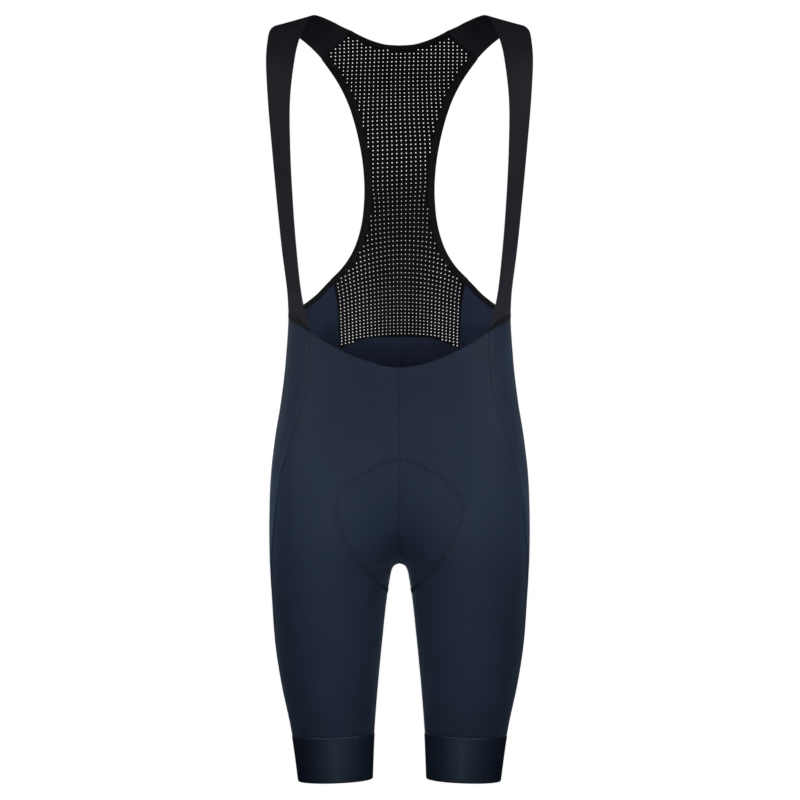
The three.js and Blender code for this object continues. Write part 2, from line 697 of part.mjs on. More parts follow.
// The four points of a strap's end, along the neck binding, the mesh and the arm binding.
function strapEnd() {
  const arm = armTapeGrid().at(-1).map(({ point }) => point);
  const neck = neckTapeGrid()[0].map(({ point }) => point);
  const last = STRAP.at(-1);
  const away = new THREE.Vector3(...last.inner).add(new THREE.Vector3(...last.outer)).divideScalar(2);
  away.sub(arm[0].clone().lerp(neck[0], 0.5)).setLength(STRAP_GAP);
  return [neck[1], neck[0], arm[0], arm[1]].map((point) => point.clone().add(away));
}

function strapGrid() {
  const foot = strapFoot();
  const end = strapEnd();
  const edges = ["inner", "outer"].map((key, side) => {
    const first = foot[side * STRAP_COLUMNS];
    const last = end[side * STRAP_COLUMNS];
    const between = STRAP.map((row) => new THREE.Vector3(...row[key]));
    return new THREE.CatmullRomCurve3([first, ...between, last], false, "centripetal");
  });
  const straight = (f, part) => edges[0].getPoint(f).lerp(edges[1].getPoint(f), part);
  const columns = fractions(STRAP_COLUMNS);
  const points = fractions(STRAP_ROWS).map((f) => {
    const nearFoot = smoothstep(1 - f, 1 - FOOT_BLEND, 1);
    const nearEnd = smoothstep(f, 1 - END_BLEND, 1);
    return columns.map((part, i) =>
      straight(f, part)
        .addScaledVector(foot[i].clone().sub(straight(0, part)), nearFoot)
        .addScaledVector(end[i].clone().sub(straight(1, part)), nearEnd)
    );
  });
  return points.map((row, j) =>
    row.map((point, i) => {
      const along = points[Math.min(j + 1, STRAP_ROWS)][i].clone().sub(points[Math.max(j - 1, 0)][i]);
      const across = row[STRAP_COLUMNS].clone().sub(row[0]);
      return { point, normal: across.cross(along).normalize() };
    })
  );
}

// The pad

// The point of the body surface at a distance from the centre line, at an angle round the crotch.
function roundCrotch(x, angle) {
  const down = { y: Math.sin(degToRad(angle)), z: -Math.cos(degToRad(angle)) };
  let near = PAD_NEAREST;
  let far = PAD_FARTHEST;
  for (let k = 0; k < HALVINGS; k++) {
    const middle = (near + far) / 2;
    if (outside(x, PAD_CENTRE.y + down.y * middle, PAD_CENTRE.z + down.z * middle) < 0) near = middle;
    else far = middle;
  }
  return new THREE.Vector3(x, PAD_CENTRE.y + down.y * near, PAD_CENTRE.z + down.z * near);
}

// Even steps along the cloth from the centre line, out to a length.
function across(angle, length, count) {
  const points = [roundCrotch(0, angle)];
  const lengths = [0];
  for (let x = PAD_STEP; lengths[lengths.length - 1] < length; x += PAD_STEP) {
    const next = roundCrotch(x, angle);
    lengths.push(lengths[lengths.length - 1] + next.distanceTo(points[points.length - 1]));
    points.push(next);
  }
  return fractions(count).map((part) => {
    const k = Math.max(lengths.findIndex((l) => l >= part * length), 1);
    const share = (part * length - lengths[k - 1]) / (lengths[k] - lengths[k - 1]);
    const point = points[k - 1].clone().lerp(points[k], share);
    return { point, normal: normalAt(point.x, point.y, point.z) };
  });
}

function padGrid() {
  const half = curve(PAD_OUTLINE, "half", "angle");
  const first = PAD_OUTLINE[0].angle;
  const last = PAD_OUTLINE[PAD_OUTLINE.length - 1].angle;
  return fractions(PAD_ROWS).map((f) => {
    const angle = lerp(first, last, f);
    const right = across(angle, half(angle), PAD_COLUMNS / 2);
    return [...mirrored([right.slice(1)])[0].reverse(), ...right];
  });
}

function padDepth(row, column) {
  const rim = Math.min(1, Math.min(row, PAD_ROWS - row) / PAD_ROWS / PAD_RIM);
  const side = Math.min(1, (1 - Math.abs((2 * column) / PAD_COLUMNS - 1)) / PAD_SIDE);
  return -(CLOTH + PAD_GAP) - lerp(PAD_EDGE, PAD, rim * side);
}

// The garment

const garment = new THREE.Group();

function add(name, geometry, material) {
  const mesh = new THREE.Mesh(geometry, material);
  mesh.name = name;
  garment.add(mesh);
}

const pairs = [
  { name: "front", grid: frontGrid(), out: 0, thick: CLOTH, material: NAVY, shape: { isHalf: true } },
  { name: "side", grid: sideGrid(), out: 0, thick: CLOTH, material: NAVY },
  { name: "seat", grid: seatGrid(), out: 0, thick: CLOTH, material: NAVY, shape: { isHalf: true } },
  {
    name: "cuff",
    grid: cuffGrid(),
    out: CUFF_PROUD,
    thick: CUFF,
    material: NAVY_CUFF,
    shape: { isRing: true },
  },
  { name: "strap", grid: strapGrid(), out: CLOTH, thick: CLOTH, material: BLACK_STRAP },
  { name: "binding_arm", grid: armTapeGrid(), out: TAPE_PROUD, thick: TAPE, material: BLACK_TAPE },
];
for (const { name, grid, out, thick, material, shape } of pairs) {
  add(`${name}_left`, wall(grid, out, out - thick, shape), material);
  add(`${name}_right`, wall(mirrored(grid), out, out - thick, shape), material);
}
add("mesh_back", wall(netGrid(), -NET_SUNK, -NET_SUNK - NET), BLACK_NET);
add("binding_neck", wall(neckTapeGrid(), TAPE_PROUD, TAPE_PROUD - TAPE), BLACK_TAPE);
add("pad", wall(padGrid(), -(CLOTH + PAD_GAP), padDepth), PAD_FOAM);

export default garment;
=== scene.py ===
import math

import bpy
import numpy as np
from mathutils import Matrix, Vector, geometry, kdtree


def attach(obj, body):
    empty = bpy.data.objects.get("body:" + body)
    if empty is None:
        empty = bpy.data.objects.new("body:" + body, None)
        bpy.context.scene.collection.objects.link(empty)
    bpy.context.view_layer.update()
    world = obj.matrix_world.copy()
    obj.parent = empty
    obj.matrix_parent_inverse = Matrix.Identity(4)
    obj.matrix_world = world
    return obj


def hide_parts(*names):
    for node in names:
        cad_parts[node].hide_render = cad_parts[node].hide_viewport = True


# Cycling bib shorts in their worn shape. All shapes are worked out in millimetres, in the frame's axes:
# +Z is up, the front faces -Y and the wearer's left is +X. They turn into metres when a mesh is made.
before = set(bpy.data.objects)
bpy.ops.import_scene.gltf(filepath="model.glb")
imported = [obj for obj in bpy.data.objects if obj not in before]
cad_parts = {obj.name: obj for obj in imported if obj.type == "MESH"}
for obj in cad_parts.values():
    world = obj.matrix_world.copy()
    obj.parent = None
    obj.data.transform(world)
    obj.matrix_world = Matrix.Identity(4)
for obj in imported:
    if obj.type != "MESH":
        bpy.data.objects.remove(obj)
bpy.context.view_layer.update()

MM = 0.001
CROTCH = -639.0  # level of the lowest point between the legs
CUFF_TOP = -839.2  # level of the seam between leg and cuff
HEM = -893.6  # level of the hem
FRONT_CORNER = -366.0  # level where front panel, side panel and strap meet
SEAT_CORNER = -385.0  # level where side panel, seat panel and mesh meet
WING_TIP = -308.0  # level where side panel, mesh and arm binding meet
CLOTH = 1.4
NET = 0.6
NET_INSET = 0.1  # how far the mesh lies inside the face of its solid
CUFF = 2.0
TAPE = 2.0
PAD = 7.0
PAD_EDGE = 1.6
PAD_GAP = 2.8
SEAM_GAP = 0.4
NECK_TAPE_WIDTH = 6.5
LEG_TILT = 0.035
CENTRE_TOP = -340.0
CENTRE_SAMPLES = 300
GIRTH_SAMPLES = 160
FOOT_BLEND = 0.1
END_BLEND = 0.16
STRAP_GAP = 0.6
ARCH_DIP = 9.0
ARCH_REACH = 50.0
LEG_ROWS = 9
BODY_ROWS = 17
FINE = 6  # fine rows or steps for each row of the frame's solids


def table(names, *rows):
    return [dict(zip(names.split(), row)) for row in rows]


# outer: half width. middle: centre of one side's oval. inner: its inner reach before the two are blended.
# front, back: depth ahead of and behind the side line. soft: how softly the ovals blend at the centre.
# square: exponent of the oval, 2 for an ellipse and more for a squarer one.
SECTIONS = table(
    "z outer middle inner front back soft square",
    (-900, 118.4, 75.6, 32.8, 50, 52, 7, 2.1),
    (-847, 125.5, 78.1, 30.8, 58, 59, 7, 2.1),
    (-824, 129.5, 79.7, 29.4, 62, 63, 7, 2.1),
    (-776, 139.1, 82.3, 25.6, 70, 72, 7, 2.1),
    (-729, 146.2, 83.7, 21.3, 77, 80, 7, 2.15),
    (-682, 150.2, 83.4, 16.7, 83, 88, 7, 2.2),
    (-664, 151.6, 82.8, 14.3, 86, 92, 7, 2.2),
    (-654, 152.2, 82.4, 12.9, 87.6, 94, 7, 2.2),
    (-647, 152.5, 82.1, 11.6, 88.7, 95.8, 7, 2.2),
    (-642.5, 152.8, 81.8, 10.1, 89.4, 97, 7, 2.2),
    (-640.3, 152.9, 81.7, 8.6, 89.8, 97.7, 7, 2.2),
    (-639, 153, 81.6, 7, 90, 98, 7, 2.2),
    (-629, 153.3, 80.6, -1, 91.5, 100, 8, 2.2),
    (-619, 153.5, 79.4, -8, 93, 102, 10, 2.2),
    (-599, 153.7, 76, -20, 95, 105, 16, 2.2),
    (-569, 153.3, 69, -36, 97, 106, 26, 2.25),
    (-540, 152.1, 59, -52, 98.5, 104, 34, 2.3),
    (-493, 147.1, 40, -80, 99, 95, 40, 2.35),
    (-446, 139.6, 20, -107, 98, 86, 40, 2.4),
    (-400, 134.3, 5, -126, 95, 80, 36, 2.45),
    (-343, 131, 0, -130, 91, 82, 30, 2.45),
    (-300, 135, 0, -135, 90, 87, 28, 2.4),
    (-265, 142, 0, -142, 92, 91, 26, 2.3),
    (-205, 150, 0, -150, 96, 96, 24, 2.2),
    (-145, 154, 0, -154, 97, 93, 24, 2.1),
    (-86, 154, 0, -154, 90, 79, 24, 2.1),
    (-39, 150, 0, -150, 60, 59, 24, 2.1),
    (0, 148, 0, -148, 30, 39, 24, 2.1),
)

# The side seams, by their distance along the cloth from the side line, where the garment is widest.
FRONT_SEAM = table(
    "z reach",
    (-850, -8),
    (-776, 6),
    (-729, 15),
    (-682, 24.5),
    (-633, 36),
    (-600, 46),
    (-563, 54.6),
    (-533, 61.6),
    (-497, 71.3),
    (-472, 74.5),
    (-450, 77.5),
    (-428, 78.6),
    (-399, 76.6),
    (FRONT_CORNER, 73),
)
BACK_SEAM = table(
    "z reach",
    (-850, 62),
    (-750, 88),
    (-640, 104),
    (-540, 108),
    (-450, 106),
    (SEAT_CORNER, 103),
    (-350, 99.8),
    (WING_TIP, 99.6),
)
# The lower edge of the arm binding from the front corner round the side to the wing tip.
SIDE_EDGE = table(
    "girth z",
    (0.6, -366.5),
    (0.72, -358.8),
    (0.85, -353),
    (1.0, -349),
    (1.15, -346),
    (1.28, -341),
    (1.42, -328),
    (1.554, WING_TIP),
)
# The width of the arm binding: part 0 to 1 round the side panel, 1 to 2 up the mesh.
ARM_TAPE = table(
    "part width", (0, 3), (0.05, 6.5), (0.12, 8.5), (0.3, 8), (1, 7), (1.2, 8), (1.4, 9), (2, 9)
)
# The inner edge of the arm binding up the mesh, from the wing tip to the strap.
ARM_EDGE = table(
    "x z",
    (79.5, WING_TIP),
    (62, -290),
    (48.5, -269),
    (38, -238),
    (33.8, -205),
    (34.3, -174),
    (38.3, -143),
    (46.8, -107),
    (55.8, -82),
    (68, -59),
    (86.5, -33.5),
)
# The lower edge of the neck binding, from the strap to the centre.
NECK_EDGE = table("x z", (60, -11.8), (50, -16.8), (35, -22.8), (18, -27.2), (0, -28.4))
# The top edge of the front panel, from the centre to the front corner.
SCOOP_EDGE = table(
    "part z",
    (0, -409),
    (0.16, -406.7),
    (0.36, -400.4),
    (0.57, -391.4),
    (0.78, -380.3),
    (1, FRONT_CORNER),
)
# The top edge of the seat panel under the mesh, from the centre to the seat corner.
SEAT_EDGE = table("part z", (0, -370.5), (0.45, -371), (0.66, -374), (0.83, -379.5), (1, SEAT_CORNER))
# One strap: its two edges, from above its foot on the front, over the shoulder, to near the mesh.
STRAP = table(
    "inner outer",
    ((112.2, -69, -329.8), (130.6, -35, -319)),
    ((118.8, -80, -272.2), (136.6, -47, -270)),
    ((122.9, -91, -214.8), (142.2, -58, -213)),
    ((125.6, -96, -157.4), (147.5, -66, -155)),
    ((126.1, -91, -99.2), (152.6, -66, -97)),
    ((121.5, -74, -51.4), (155.4, -54, -49.6)),
    ((118.0, -56, -31), (154.6, -38, -28)),
    ((111.5, -34, -10), (152, -21, -12.5)),
    ((102.5, -7, 5.9), (144.5, -3, -5.6)),
    ((92.5, 14, 7.1), (134, 11, -9.2)),
    ((78, 28, 2.2), (116, 28, -18.8)),
    ((70, 37, -1.1), (104, 38, -28.2)),
)
# Half the width of the pad, along the cloth from its centre line, by the angle round the crotch:
# 0 points down, negative angles lie in front and positive ones behind.
PAD_OUTLINE = table(
    "angle half",
    (-115, 6),
    (-108, 34),
    (-98, 62),
    (-86, 76),
    (-70, 70),
    (-50, 55),
    (-25, 40),
    (0, 37),
    (30, 47),
    (60, 72),
    (85, 84),
    (100, 70),
    (112, 30),
)
PAD_CENTRE_Y = 3.0
PAD_CENTRE_Z = -560.0

# The rows of holes of the mesh, seen from the front in the plane of the side line: the row's number
# and its height at the centre.
HOLE_ROWS = table(
    "row z",
    (-25, -4.5),
    (-20, -24.5),
    (-17, -37.4),
    (-8, -79.3),
    (-3, -101),
    (4, -134.9),
    (15, -191.3),
    (25, -242),
    (33, -285.1),
    (39, -316.7),
    (44, -339.2),
    (51, -367.5),
    (56, -386),
)
# shift: place of the middle column. pitch: space between columns.
# tilt, arch: how far a row falls 59 mm to the right of the centre, and to both sides.
HOLE_COLUMNS = table(
    "z shift pitch tilt arch radius",
    (-38, 1.5, 5.14, -1.25, 0.9, 0.77),
    (-74, 0.5, 5.2, -1.6, -0.4, 0.69),
    (-110, 0.7, 5.4, -2.3, 1.6, 0.73),
    (-151, 2.4, 5.6, -2.9, 0.6, 0.755),
    (-191, 2.5, 5.62, -3.8, -0.9, 0.6),
    (-211, 2.3, 5.25, -2.9, 0.6, 0.525),
    (-252, 2.2, 4.98, -2.5, 8.6, 0.545),
    (-274, 2.2, 4.81, -2.3, 11.4, 0.55),
    (-296, 2.2, 4.66, -1.5, 10.3, 0.53),
    (-316, 2.2, 4.52, -1.0, 8.5, 0.52),
    (-352, 2.2, 4.43, -0.9, 6.9, 0.52),
    (-368, 2.2, 4.4, -0.9, 5.9, 0.56),
)
HOLE_MARGIN = 1.2  # least distance of a hole's centre from the edge of the mesh
FLANK_STRETCH = 0.3  # how much larger the holes are at the sides low down, where the mesh is stretched
HOLE_REACH = 20  # columns of holes tried on either side of the middle one
HOLE_SPAN = 59.0
HOLE_SIDES = 12
TUCK = 0.5  # how far an edge reaches into what it is sewn to
CAMERA_AWAY = 4500.0
CAMERA_LEVEL = -446.0
SENSOR = 36
PIXEL = 1.18  # millimetres of the side line's plane for each pixel of the photo
PHOTO_WIDTH = 800
LAMP_AWAY = 2.0


# Curves and lines


def curve(rows, key, by):
    """A smooth curve through one column of a table that doesn't overshoot between its rows."""
    rows = sorted(rows, key=lambda row: row[by])
    at = np.array([row[by] for row in rows], float)
    value = np.array([row[key] for row in rows], float)
    slope = np.diff(value) / np.diff(at)
    before = np.concatenate([slope[:1], slope])
    after = np.concatenate([slope, slope[-1:]])
    total = np.where(before + after == 0, 1.0, before + after)
    tangent = np.where(before * after > 0, 2 * before * after / total, 0.0)

    def read(where):
        w = np.clip(where, at[0], at[-1])
        k = np.clip(np.searchsorted(at, w, side="left") - 1, 0, len(at) - 2)
        span = at[k + 1] - at[k]
        t = (w - at[k]) / span
        rise = (3 - 2 * t) * t * t
        bend = span * t * (1 - t) * (tangent[k] * (1 - t) - tangent[k + 1] * t)
        return value[k] * (1 - rise) + value[k + 1] * rise + bend

    return read


def lerp(a, b, t):
    return a + (b - a) * t


def smoothstep(x, low, high):
    t = np.clip((x - low) / (high - low), 0, 1)
    return t * t * (3 - 2 * t)


def unit(v):
    return v / np.maximum(np.linalg.norm(v, axis=-1, keepdims=True), 1e-9)


def catmull(points, where):
    """Points of a centripetal Catmull-Rom line, at shares of its number of spans."""
    p = np.array(points, float)
    p = np.concatenate([[2 * p[0] - p[1]], p, [2 * p[-1] - p[-2]]])
    place = np.clip(where, 0, 1) * (len(p) - 3)
    k = np.minimum(place.astype(int), len(p) - 4)
    t = (place - k)[:, None]
    root = [np.sqrt(np.linalg.norm(p[k + n + 1] - p[k + n], axis=1))[:, None] for n in range(3)]
    a, b, c, d = (p[k + n] for n in range(4))
    start = ((b - a) / root[0] - (c - a) / (root[0] + root[1]) + (c - b) / root[1]) * root[1]
    end = ((c - b) / root[1] - (d - b) / (root[1] + root[2]) + (d - c) / root[2]) * root[1]
    second = -3 * b + 3 * c - 2 * start - end
    third = 2 * b - 2 * c + start + end
    return b + start * t + second * t**2 + third * t**3


def evenly(rows, count):
    """Even steps along a smooth line through rows of x and z."""
    points = [(row["x"], row["z"]) for row in rows]
    dense = catmull(points, np.linspace(0, 1, 1201))
    return resample(dense, count)


def resample(points, count):
    """Even steps along a line of points."""
    points = np.asarray(points, float)
    run = np.concatenate([[0], np.cumsum(np.linalg.norm(np.diff(points, axis=0), axis=1))])
    at = np.linspace(0, run[-1], count + 1)
    return np.stack([np.interp(at, run, column) for column in points.T], axis=1)


BODY = {key: curve(SECTIONS, key, "z") for key in "outer middle inner front back soft square".split()}
front_reach = curve(FRONT_SEAM, "reach", "z")
back_reach = curve(BACK_SEAM, "reach", "z")
side_edge = curve(SIDE_EDGE, "z", "girth")
seat_edge = curve(SEAT_EDGE, "z", "part")
scoop_edge = curve(SCOOP_EDGE, "z", "part")
arm_tape_width = curve(ARM_TAPE, "width", "part")
pad_half = curve(PAD_OUTLINE, "half", "angle")


# The body surface


def section_at(z):
    soft = BODY["soft"](z)
    middle = BODY["middle"](z)
    return {
        "soft": soft,
        "middle": middle,
        "outward": np.hypot(BODY["outer"](z), soft) - middle,
        "inward": middle - BODY["inner"](z),
        "front": BODY["front"](z),
        "back": BODY["back"](z),
        "square": BODY["square"](z),
    }


def outside(x, y, z):
    """Below 0 inside the garment, above 0 outside it."""
    s = section_at(z)
    reach = np.hypot(x, s["soft"]) - s["middle"]
    across = np.abs(reach / np.where(reach > 0, s["outward"], s["inward"]))
    along = np.abs(y / np.where(y < 0, s["front"], s["back"]))
    return across ** s["square"] + along ** s["square"] - 1


def normal_at(p):
    h = 0.4
    x, y, z = p[..., 0], p[..., 1], p[..., 2]
    gradient = np.stack(
        [
            outside(x + h, y, z) - outside(x - h, y, z),
            outside(x, y + h, z) - outside(x, y - h, z),
            outside(x, y, z + h) - outside(x, y, z - h),
        ],
        axis=-1,
    )
    return unit(gradient)


def section_point(s, step, is_front):
    """The point of a section at step 0, the centre or inseam, to 1, the side line."""
    end = (s["soft"] - s["middle"]) / np.where(s["soft"] > s["middle"], s["outward"], s["inward"])
    end = np.clip(end, -1, 1)
    last = np.arccos(np.sign(end) * np.abs(end) ** (s["square"] / 2))
    angle = last * (1 - step * step)
    power = 2 / s["square"]
    cos = np.cos(angle)
    across = s["middle"] + np.where(cos > 0, s["outward"], -s["inward"]) * np.abs(cos) ** power
    depth = np.abs(np.sin(angle)) ** power * np.where(is_front, -s["front"], s["back"])
    return np.sqrt(np.maximum(across * across - s["soft"] ** 2, 0)), depth


def walk(z, is_front):
    """Lengths along half sections, at even steps."""
    s = {key: value[:, None] for key, value in section_at(z).items()}
    steps = np.linspace(0, 1, GIRTH_SAMPLES + 1)[None, :]
    x, y = section_point(s, steps, np.asarray(is_front)[..., None])
    run = np.hypot(np.diff(x, axis=1), np.diff(y, axis=1))
    return np.concatenate([np.zeros((len(z), 1)), np.cumsum(run, axis=1)], axis=1)


def half_girth(z, is_front):
    z = np.asarray(z, float)
    flags = np.broadcast_to(is_front, z.shape).ravel()
    return walk(z.ravel(), flags)[:, -1].reshape(z.shape)


def girth_at(reach, z, is_front):
    """How far round one side: 0 at the centre front or inseam, 1 at the side line, 2 at the back."""
    ahead = reach if is_front else -reach
    return 1 - ahead / half_girth(z, ahead > 0)


def front_seam(z):
    return girth_at(front_reach(z), z, True)


def back_seam(z):
    return girth_at(back_reach(z), z, False)


def on_body(girth, z):
    """The points and outward normals at girths, 0 to 2, and levels."""
    girth, z = np.broadcast_arrays(np.asarray(girth, float), np.asarray(z, float))
    g = girth.ravel()
    level = z.ravel()
    is_front = g <= 1
    lengths = walk(level, is_front)
    target = lengths[:, -1] * np.where(is_front, np.maximum(g, 0), np.maximum(2 - g, 0))
    k = np.clip((lengths < target[:, None]).sum(axis=1), 1, GIRTH_SAMPLES)
    row = np.arange(len(k))
    low = lengths[row, k - 1]
    step = (k - 1 + (target - low) / (lengths[row, k] - low)) / GIRTH_SAMPLES
    s = section_at(level)
    x, y = section_point(s, np.minimum(step, 1), is_front)
    normals = normal_at(np.stack([x, y, level], axis=-1))
    tilt = LEG_TILT * smoothstep(-level, -CROTCH + 40, -CUFF_TOP - 30)
    centre = (BODY["outer"](level) + BODY["inner"](level)) / 2
    points = np.stack([x, y, level + tilt * (centre - x)], axis=-1)
    return points.reshape(girth.shape + (3,)), normals.reshape(girth.shape + (3,))


def on_back(x, z):
    """The points and normals of the back by distance from the centre line, signed, and level."""
    x, z = np.broadcast_arrays(np.asarray(x, float), np.asarray(z, float))
    s = section_at(z)
    reach = np.hypot(x, s["soft"]) - s["middle"]
    across = np.abs(reach / np.where(reach > 0, s["outward"], s["inward"]))
    y = s["back"] * np.maximum(1 - across ** s["square"], 0) ** (1 / s["square"])
    points = np.stack([x, y, z], axis=-1)
    return points, normal_at(points)


def settle(points):
    """Brings points near the body surface onto it, along the surface's normal."""
    points = points.copy()
    h = 0.5
    for _ in range(8):
        normal = normal_at(points)
        here = outside(points[..., 0], points[..., 1], points[..., 2])
        ahead = points + normal * h
        there = outside(ahead[..., 0], ahead[..., 1], ahead[..., 2])
        points += normal * (-here * h / (there - here))[..., None]
    return points, normal_at(points)


# Meshes


def in_metres(points):
    return (np.asarray(points, float).reshape(-1, 3) * MM).tolist()


def make(name, points, faces, material, cloth=None, mirror=False):
    """An object from points in millimetres. cloth gives each point's place on its flat piece, across
    and along it, and 1 on the reverse side or 0 on the face."""
    points = np.array(points, float).reshape(-1, 3)
    faces = [tuple(face) for face in faces]
    if mirror:
        points[:, 0] *= -1
        faces = [face[::-1] for face in faces]
    mesh = bpy.data.meshes.new(name)
    mesh.from_pydata(in_metres(points), [], faces)
    mesh.validate()
    mesh.polygons.foreach_set("use_smooth", [True] * len(mesh.polygons))
    if cloth is not None:
        layer = mesh.attributes.new("cloth", "FLOAT_VECTOR", "POINT")
        layer.data.foreach_set("vector", np.asarray(cloth, float).ravel())
    mesh.materials.append(material)
    mesh.update()
    piece = bpy.data.objects.new(name, mesh)
    bpy.context.scene.collection.objects.link(piece)
    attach(piece, "root")
    return piece


def wall_faces(rows, columns, is_ring):
    count = rows * columns
    grid = np.arange(count).reshape(rows, columns)
    if is_ring:
        grid = np.concatenate([grid, grid[:, :1]], axis=1)
    a, b, c, d = grid[:-1, :-1], grid[:-1, 1:], grid[1:, 1:], grid[1:, :-1]
    faces = [
        np.stack([a, b, c, d], axis=-1).reshape(-1, 4),
        np.stack([a, d, c, b], axis=-1).reshape(-1, 4) + count,
    ]
    low, high = grid[0], grid[-1]
    faces.append(np.stack([low[:-1], low[:-1] + count, low[1:] + count, low[1:]], axis=-1))
    faces.append(np.stack([high[:-1], high[1:], high[1:] + count, high[:-1] + count], axis=-1))
    if not is_ring:
        first, last = grid[:, 0], grid[:, -1]
        faces.append(np.stack([first[:-1], first[1:], first[1:] + count, first[:-1] + count], axis=-1))
        faces.append(np.stack([last[:-1], last[:-1] + count, last[1:] + count, last[1:]], axis=-1))
    return np.concatenate(faces)


def signed_volume(points, faces):
    a, b, c, d = (points[faces[:, k]] for k in range(4))
    first = np.einsum("ij,ij->i", a, np.cross(b, c))
    second = np.einsum("ij,ij->i", a, np.cross(c, d))
    return (first + second).sum() / 6


def two_sided(places):
    """Places on a flat piece, across and along it, for a face side and a reverse side."""
    flat = np.asarray(places, float).reshape(-1, 2)
    face = np.column_stack([flat, np.zeros(len(flat))])
    reverse = np.column_stack([flat, np.ones(len(flat))])
    return np.concatenate([face, reverse])


def wall(name, grid, out, into, material, places, is_ring=False, mirror=False):
    """A closed wall over a grid of points and normals, between two offsets along the normals."""
    points, normals = grid
    rows, columns = points.shape[:2]
    out = np.broadcast_to(out, (rows, columns))[..., None]
    into = np.broadcast_to(into, (rows, columns))[..., None]
    both = np.concatenate(
        [(points + normals * out).reshape(-1, 3), (points + normals * into).reshape(-1, 3)]
    )
    faces = wall_faces(rows, columns, is_ring)
    if signed_volume(both, faces) < 0:
        faces = faces[:, ::-1]
    cloth = two_sided(places)
    return make(name, both, faces.tolist(), material, cloth, mirror)


def tube(name, lines, radius, sides, material, mirror=False):
    """Round threads along lines of points, each with the surface's normals, as one piece."""
    points = []
    places = []
    faces = []
    turn = np.linspace(0, 2 * np.pi, sides, endpoint=False)
    for line, normals in lines:
        line = np.asarray(line, float)
        count = len(line)
        along = unit(np.gradient(line, axis=0))
        side = unit(np.cross(normals, along))
        up = unit(np.cross(along, side))
        ring = (
            side[:, None, :] * np.cos(turn)[None, :, None] + up[:, None, :] * np.sin(turn)[None, :, None]
        )
        start = sum(len(p) for p in points)
        points.append((line[:, None, :] + ring * radius).reshape(-1, 3))
        run = np.concatenate([[0], np.cumsum(np.linalg.norm(np.diff(line, axis=0), axis=1))])
        places.append(np.stack(np.broadcast_arrays(turn * radius, run[:, None], 0.0), axis=-1).reshape(-1, 3))
        for k in range(count - 1):
            for n in range(sides):
                m = (n + 1) % sides
                low = start + k * sides
                faces.append((low + n, low + m, low + sides + m, low + sides + n))
        faces.append(tuple(start + n for n in range(sides))[::-1])
        faces.append(tuple(start + (count - 1) * sides + n for n in range(sides)))
    return make(name, np.concatenate(points), faces, material, np.concatenate(places), mirror)


# Rows and columns of the panels

EDGE_STEPS = np.array([0, 0.12, 0.35, 0.7, 1.1, 1.7, 2.6, 3.8, 5.2, 7.0])
halfway = np.linspace(0, 1, LEG_ROWS + 1)
leg_levels = lerp(CUFF_TOP + SEAM_GAP / 2, CROTCH, 1 - (1 - halfway) ** 2.2)


def levels(top):
    """Fine levels of a panel at its side seam: those of the solids, divided, and closer at the ends."""
    share = np.linspace(0, 1, BODY_ROWS + 1)[1:]
    coarse = np.concatenate([leg_levels, lerp(CROTCH, top, share**1.25)])
    last = len(coarse) - 1
    fine = np.interp(np.linspace(0, last, last * FINE + 1), np.arange(len(coarse)), coarse)
    bottom = fine[0]
    inner = fine[(fine > bottom + EDGE_STEPS[-1] + 1) & (fine < top - EDGE_STEPS[-1] - 1)]
    return np.concatenate([bottom + EDGE_STEPS, inner, (top - EDGE_STEPS)[::-1]])


def spread(total, count):
    """Shares of a width for each row, closer at both ends, with even steps between."""
    total = np.asarray(total, float)[:, None]
    ends = EDGE_STEPS[None, :] / total
    middle = np.linspace(0, 1, count + 2)[None, 1:-1]
    middle = ends[:, -1:] + middle * (1 - 2 * ends[:, -1:])
    return np.concatenate([ends, middle, 1 - ends[:, ::-1]], axis=1)


def centre_line(is_front):
    share = np.linspace(0, 1, CENTRE_SAMPLES + 1)
    z = lerp(CROTCH, CENTRE_TOP, share**2.5)
    points = on_body(np.full(z.shape, 0.0 if is_front else 2.0), z)[0]
    run = np.hypot(np.diff(points[:, 1]), np.diff(points[:, 2]))
    return z, np.concatenate([[0], np.cumsum(run)])


CENTRE_LINES = {True: centre_line(True), False: centre_line(False)}


def row_at_centre(level, top, top_at_centre, is_front):
    """A row's level at the centre line. Above the crotch rows sag there, and so fan out round the crotch."""
    z, length = CENTRE_LINES[is_front]
    whole = np.interp(top_at_centre, z, length)
    sagged = np.interp(whole * (level - CROTCH) / (top - CROTCH), length, z)
    return np.where(level <= CROTCH, level, sagged)


def dip(level, part):
    """Near the crotch a row dips a little just beside the centre, over the arch between the legs."""
    near = smoothstep(part, 0, 0.2) * (1 - smoothstep(part, 0.2, 0.85))
    return ARCH_DIP * np.exp(-(((level - CROTCH) / ARCH_REACH) ** 2)) * near


def centre_grid(is_front, seam, top, top_at, count):
    """A panel from the centre line or inseam to a seam: points, normals and places on the cloth."""
    half_gap = SEAM_GAP / 2
    level = levels(top)
    middle = row_at_centre(level, top, float(top_at(0)), is_front)
    reach = half_girth(middle, is_front)
    follow = smoothstep(level, CROTCH + 60, top)
    at_seam = half_girth(level, is_front)
    past = np.maximum(at_seam - reach, 0) * (1 - follow)
    total = np.abs(seam(level) - (0 if is_front else 2)) * at_seam - half_gap - past
    part = spread(total, count)
    weight = 1 - (np.sin(part) / np.sin(1)) ** 1.75
    level = level[:, None]
    follow = follow[:, None]
    flat = lerp(level, middle[:, None], weight)
    top_flat = lerp(top, float(top_at(0)), weight)
    z = flat + follow * (top_at(part) - top_flat) - dip(level, part)
    whole = half_girth(z, is_front)
    to_seam = np.abs(seam(z) - (0 if is_front else 2)) * whole - half_gap
    past = np.maximum(whole - reach[:, None], 0) * (1 - follow)
    from_centre = lerp(past + half_gap, to_seam, part)
    girth = from_centre / whole if is_front else 2 - from_centre / whole
    points, normals = on_body(girth, z)
    points[..., 0] = np.maximum(points[..., 0], SEAM_GAP / 2)
    from_start = from_centre - past - half_gap
    to_end = to_seam - from_centre
    return points, normals, from_start, to_end


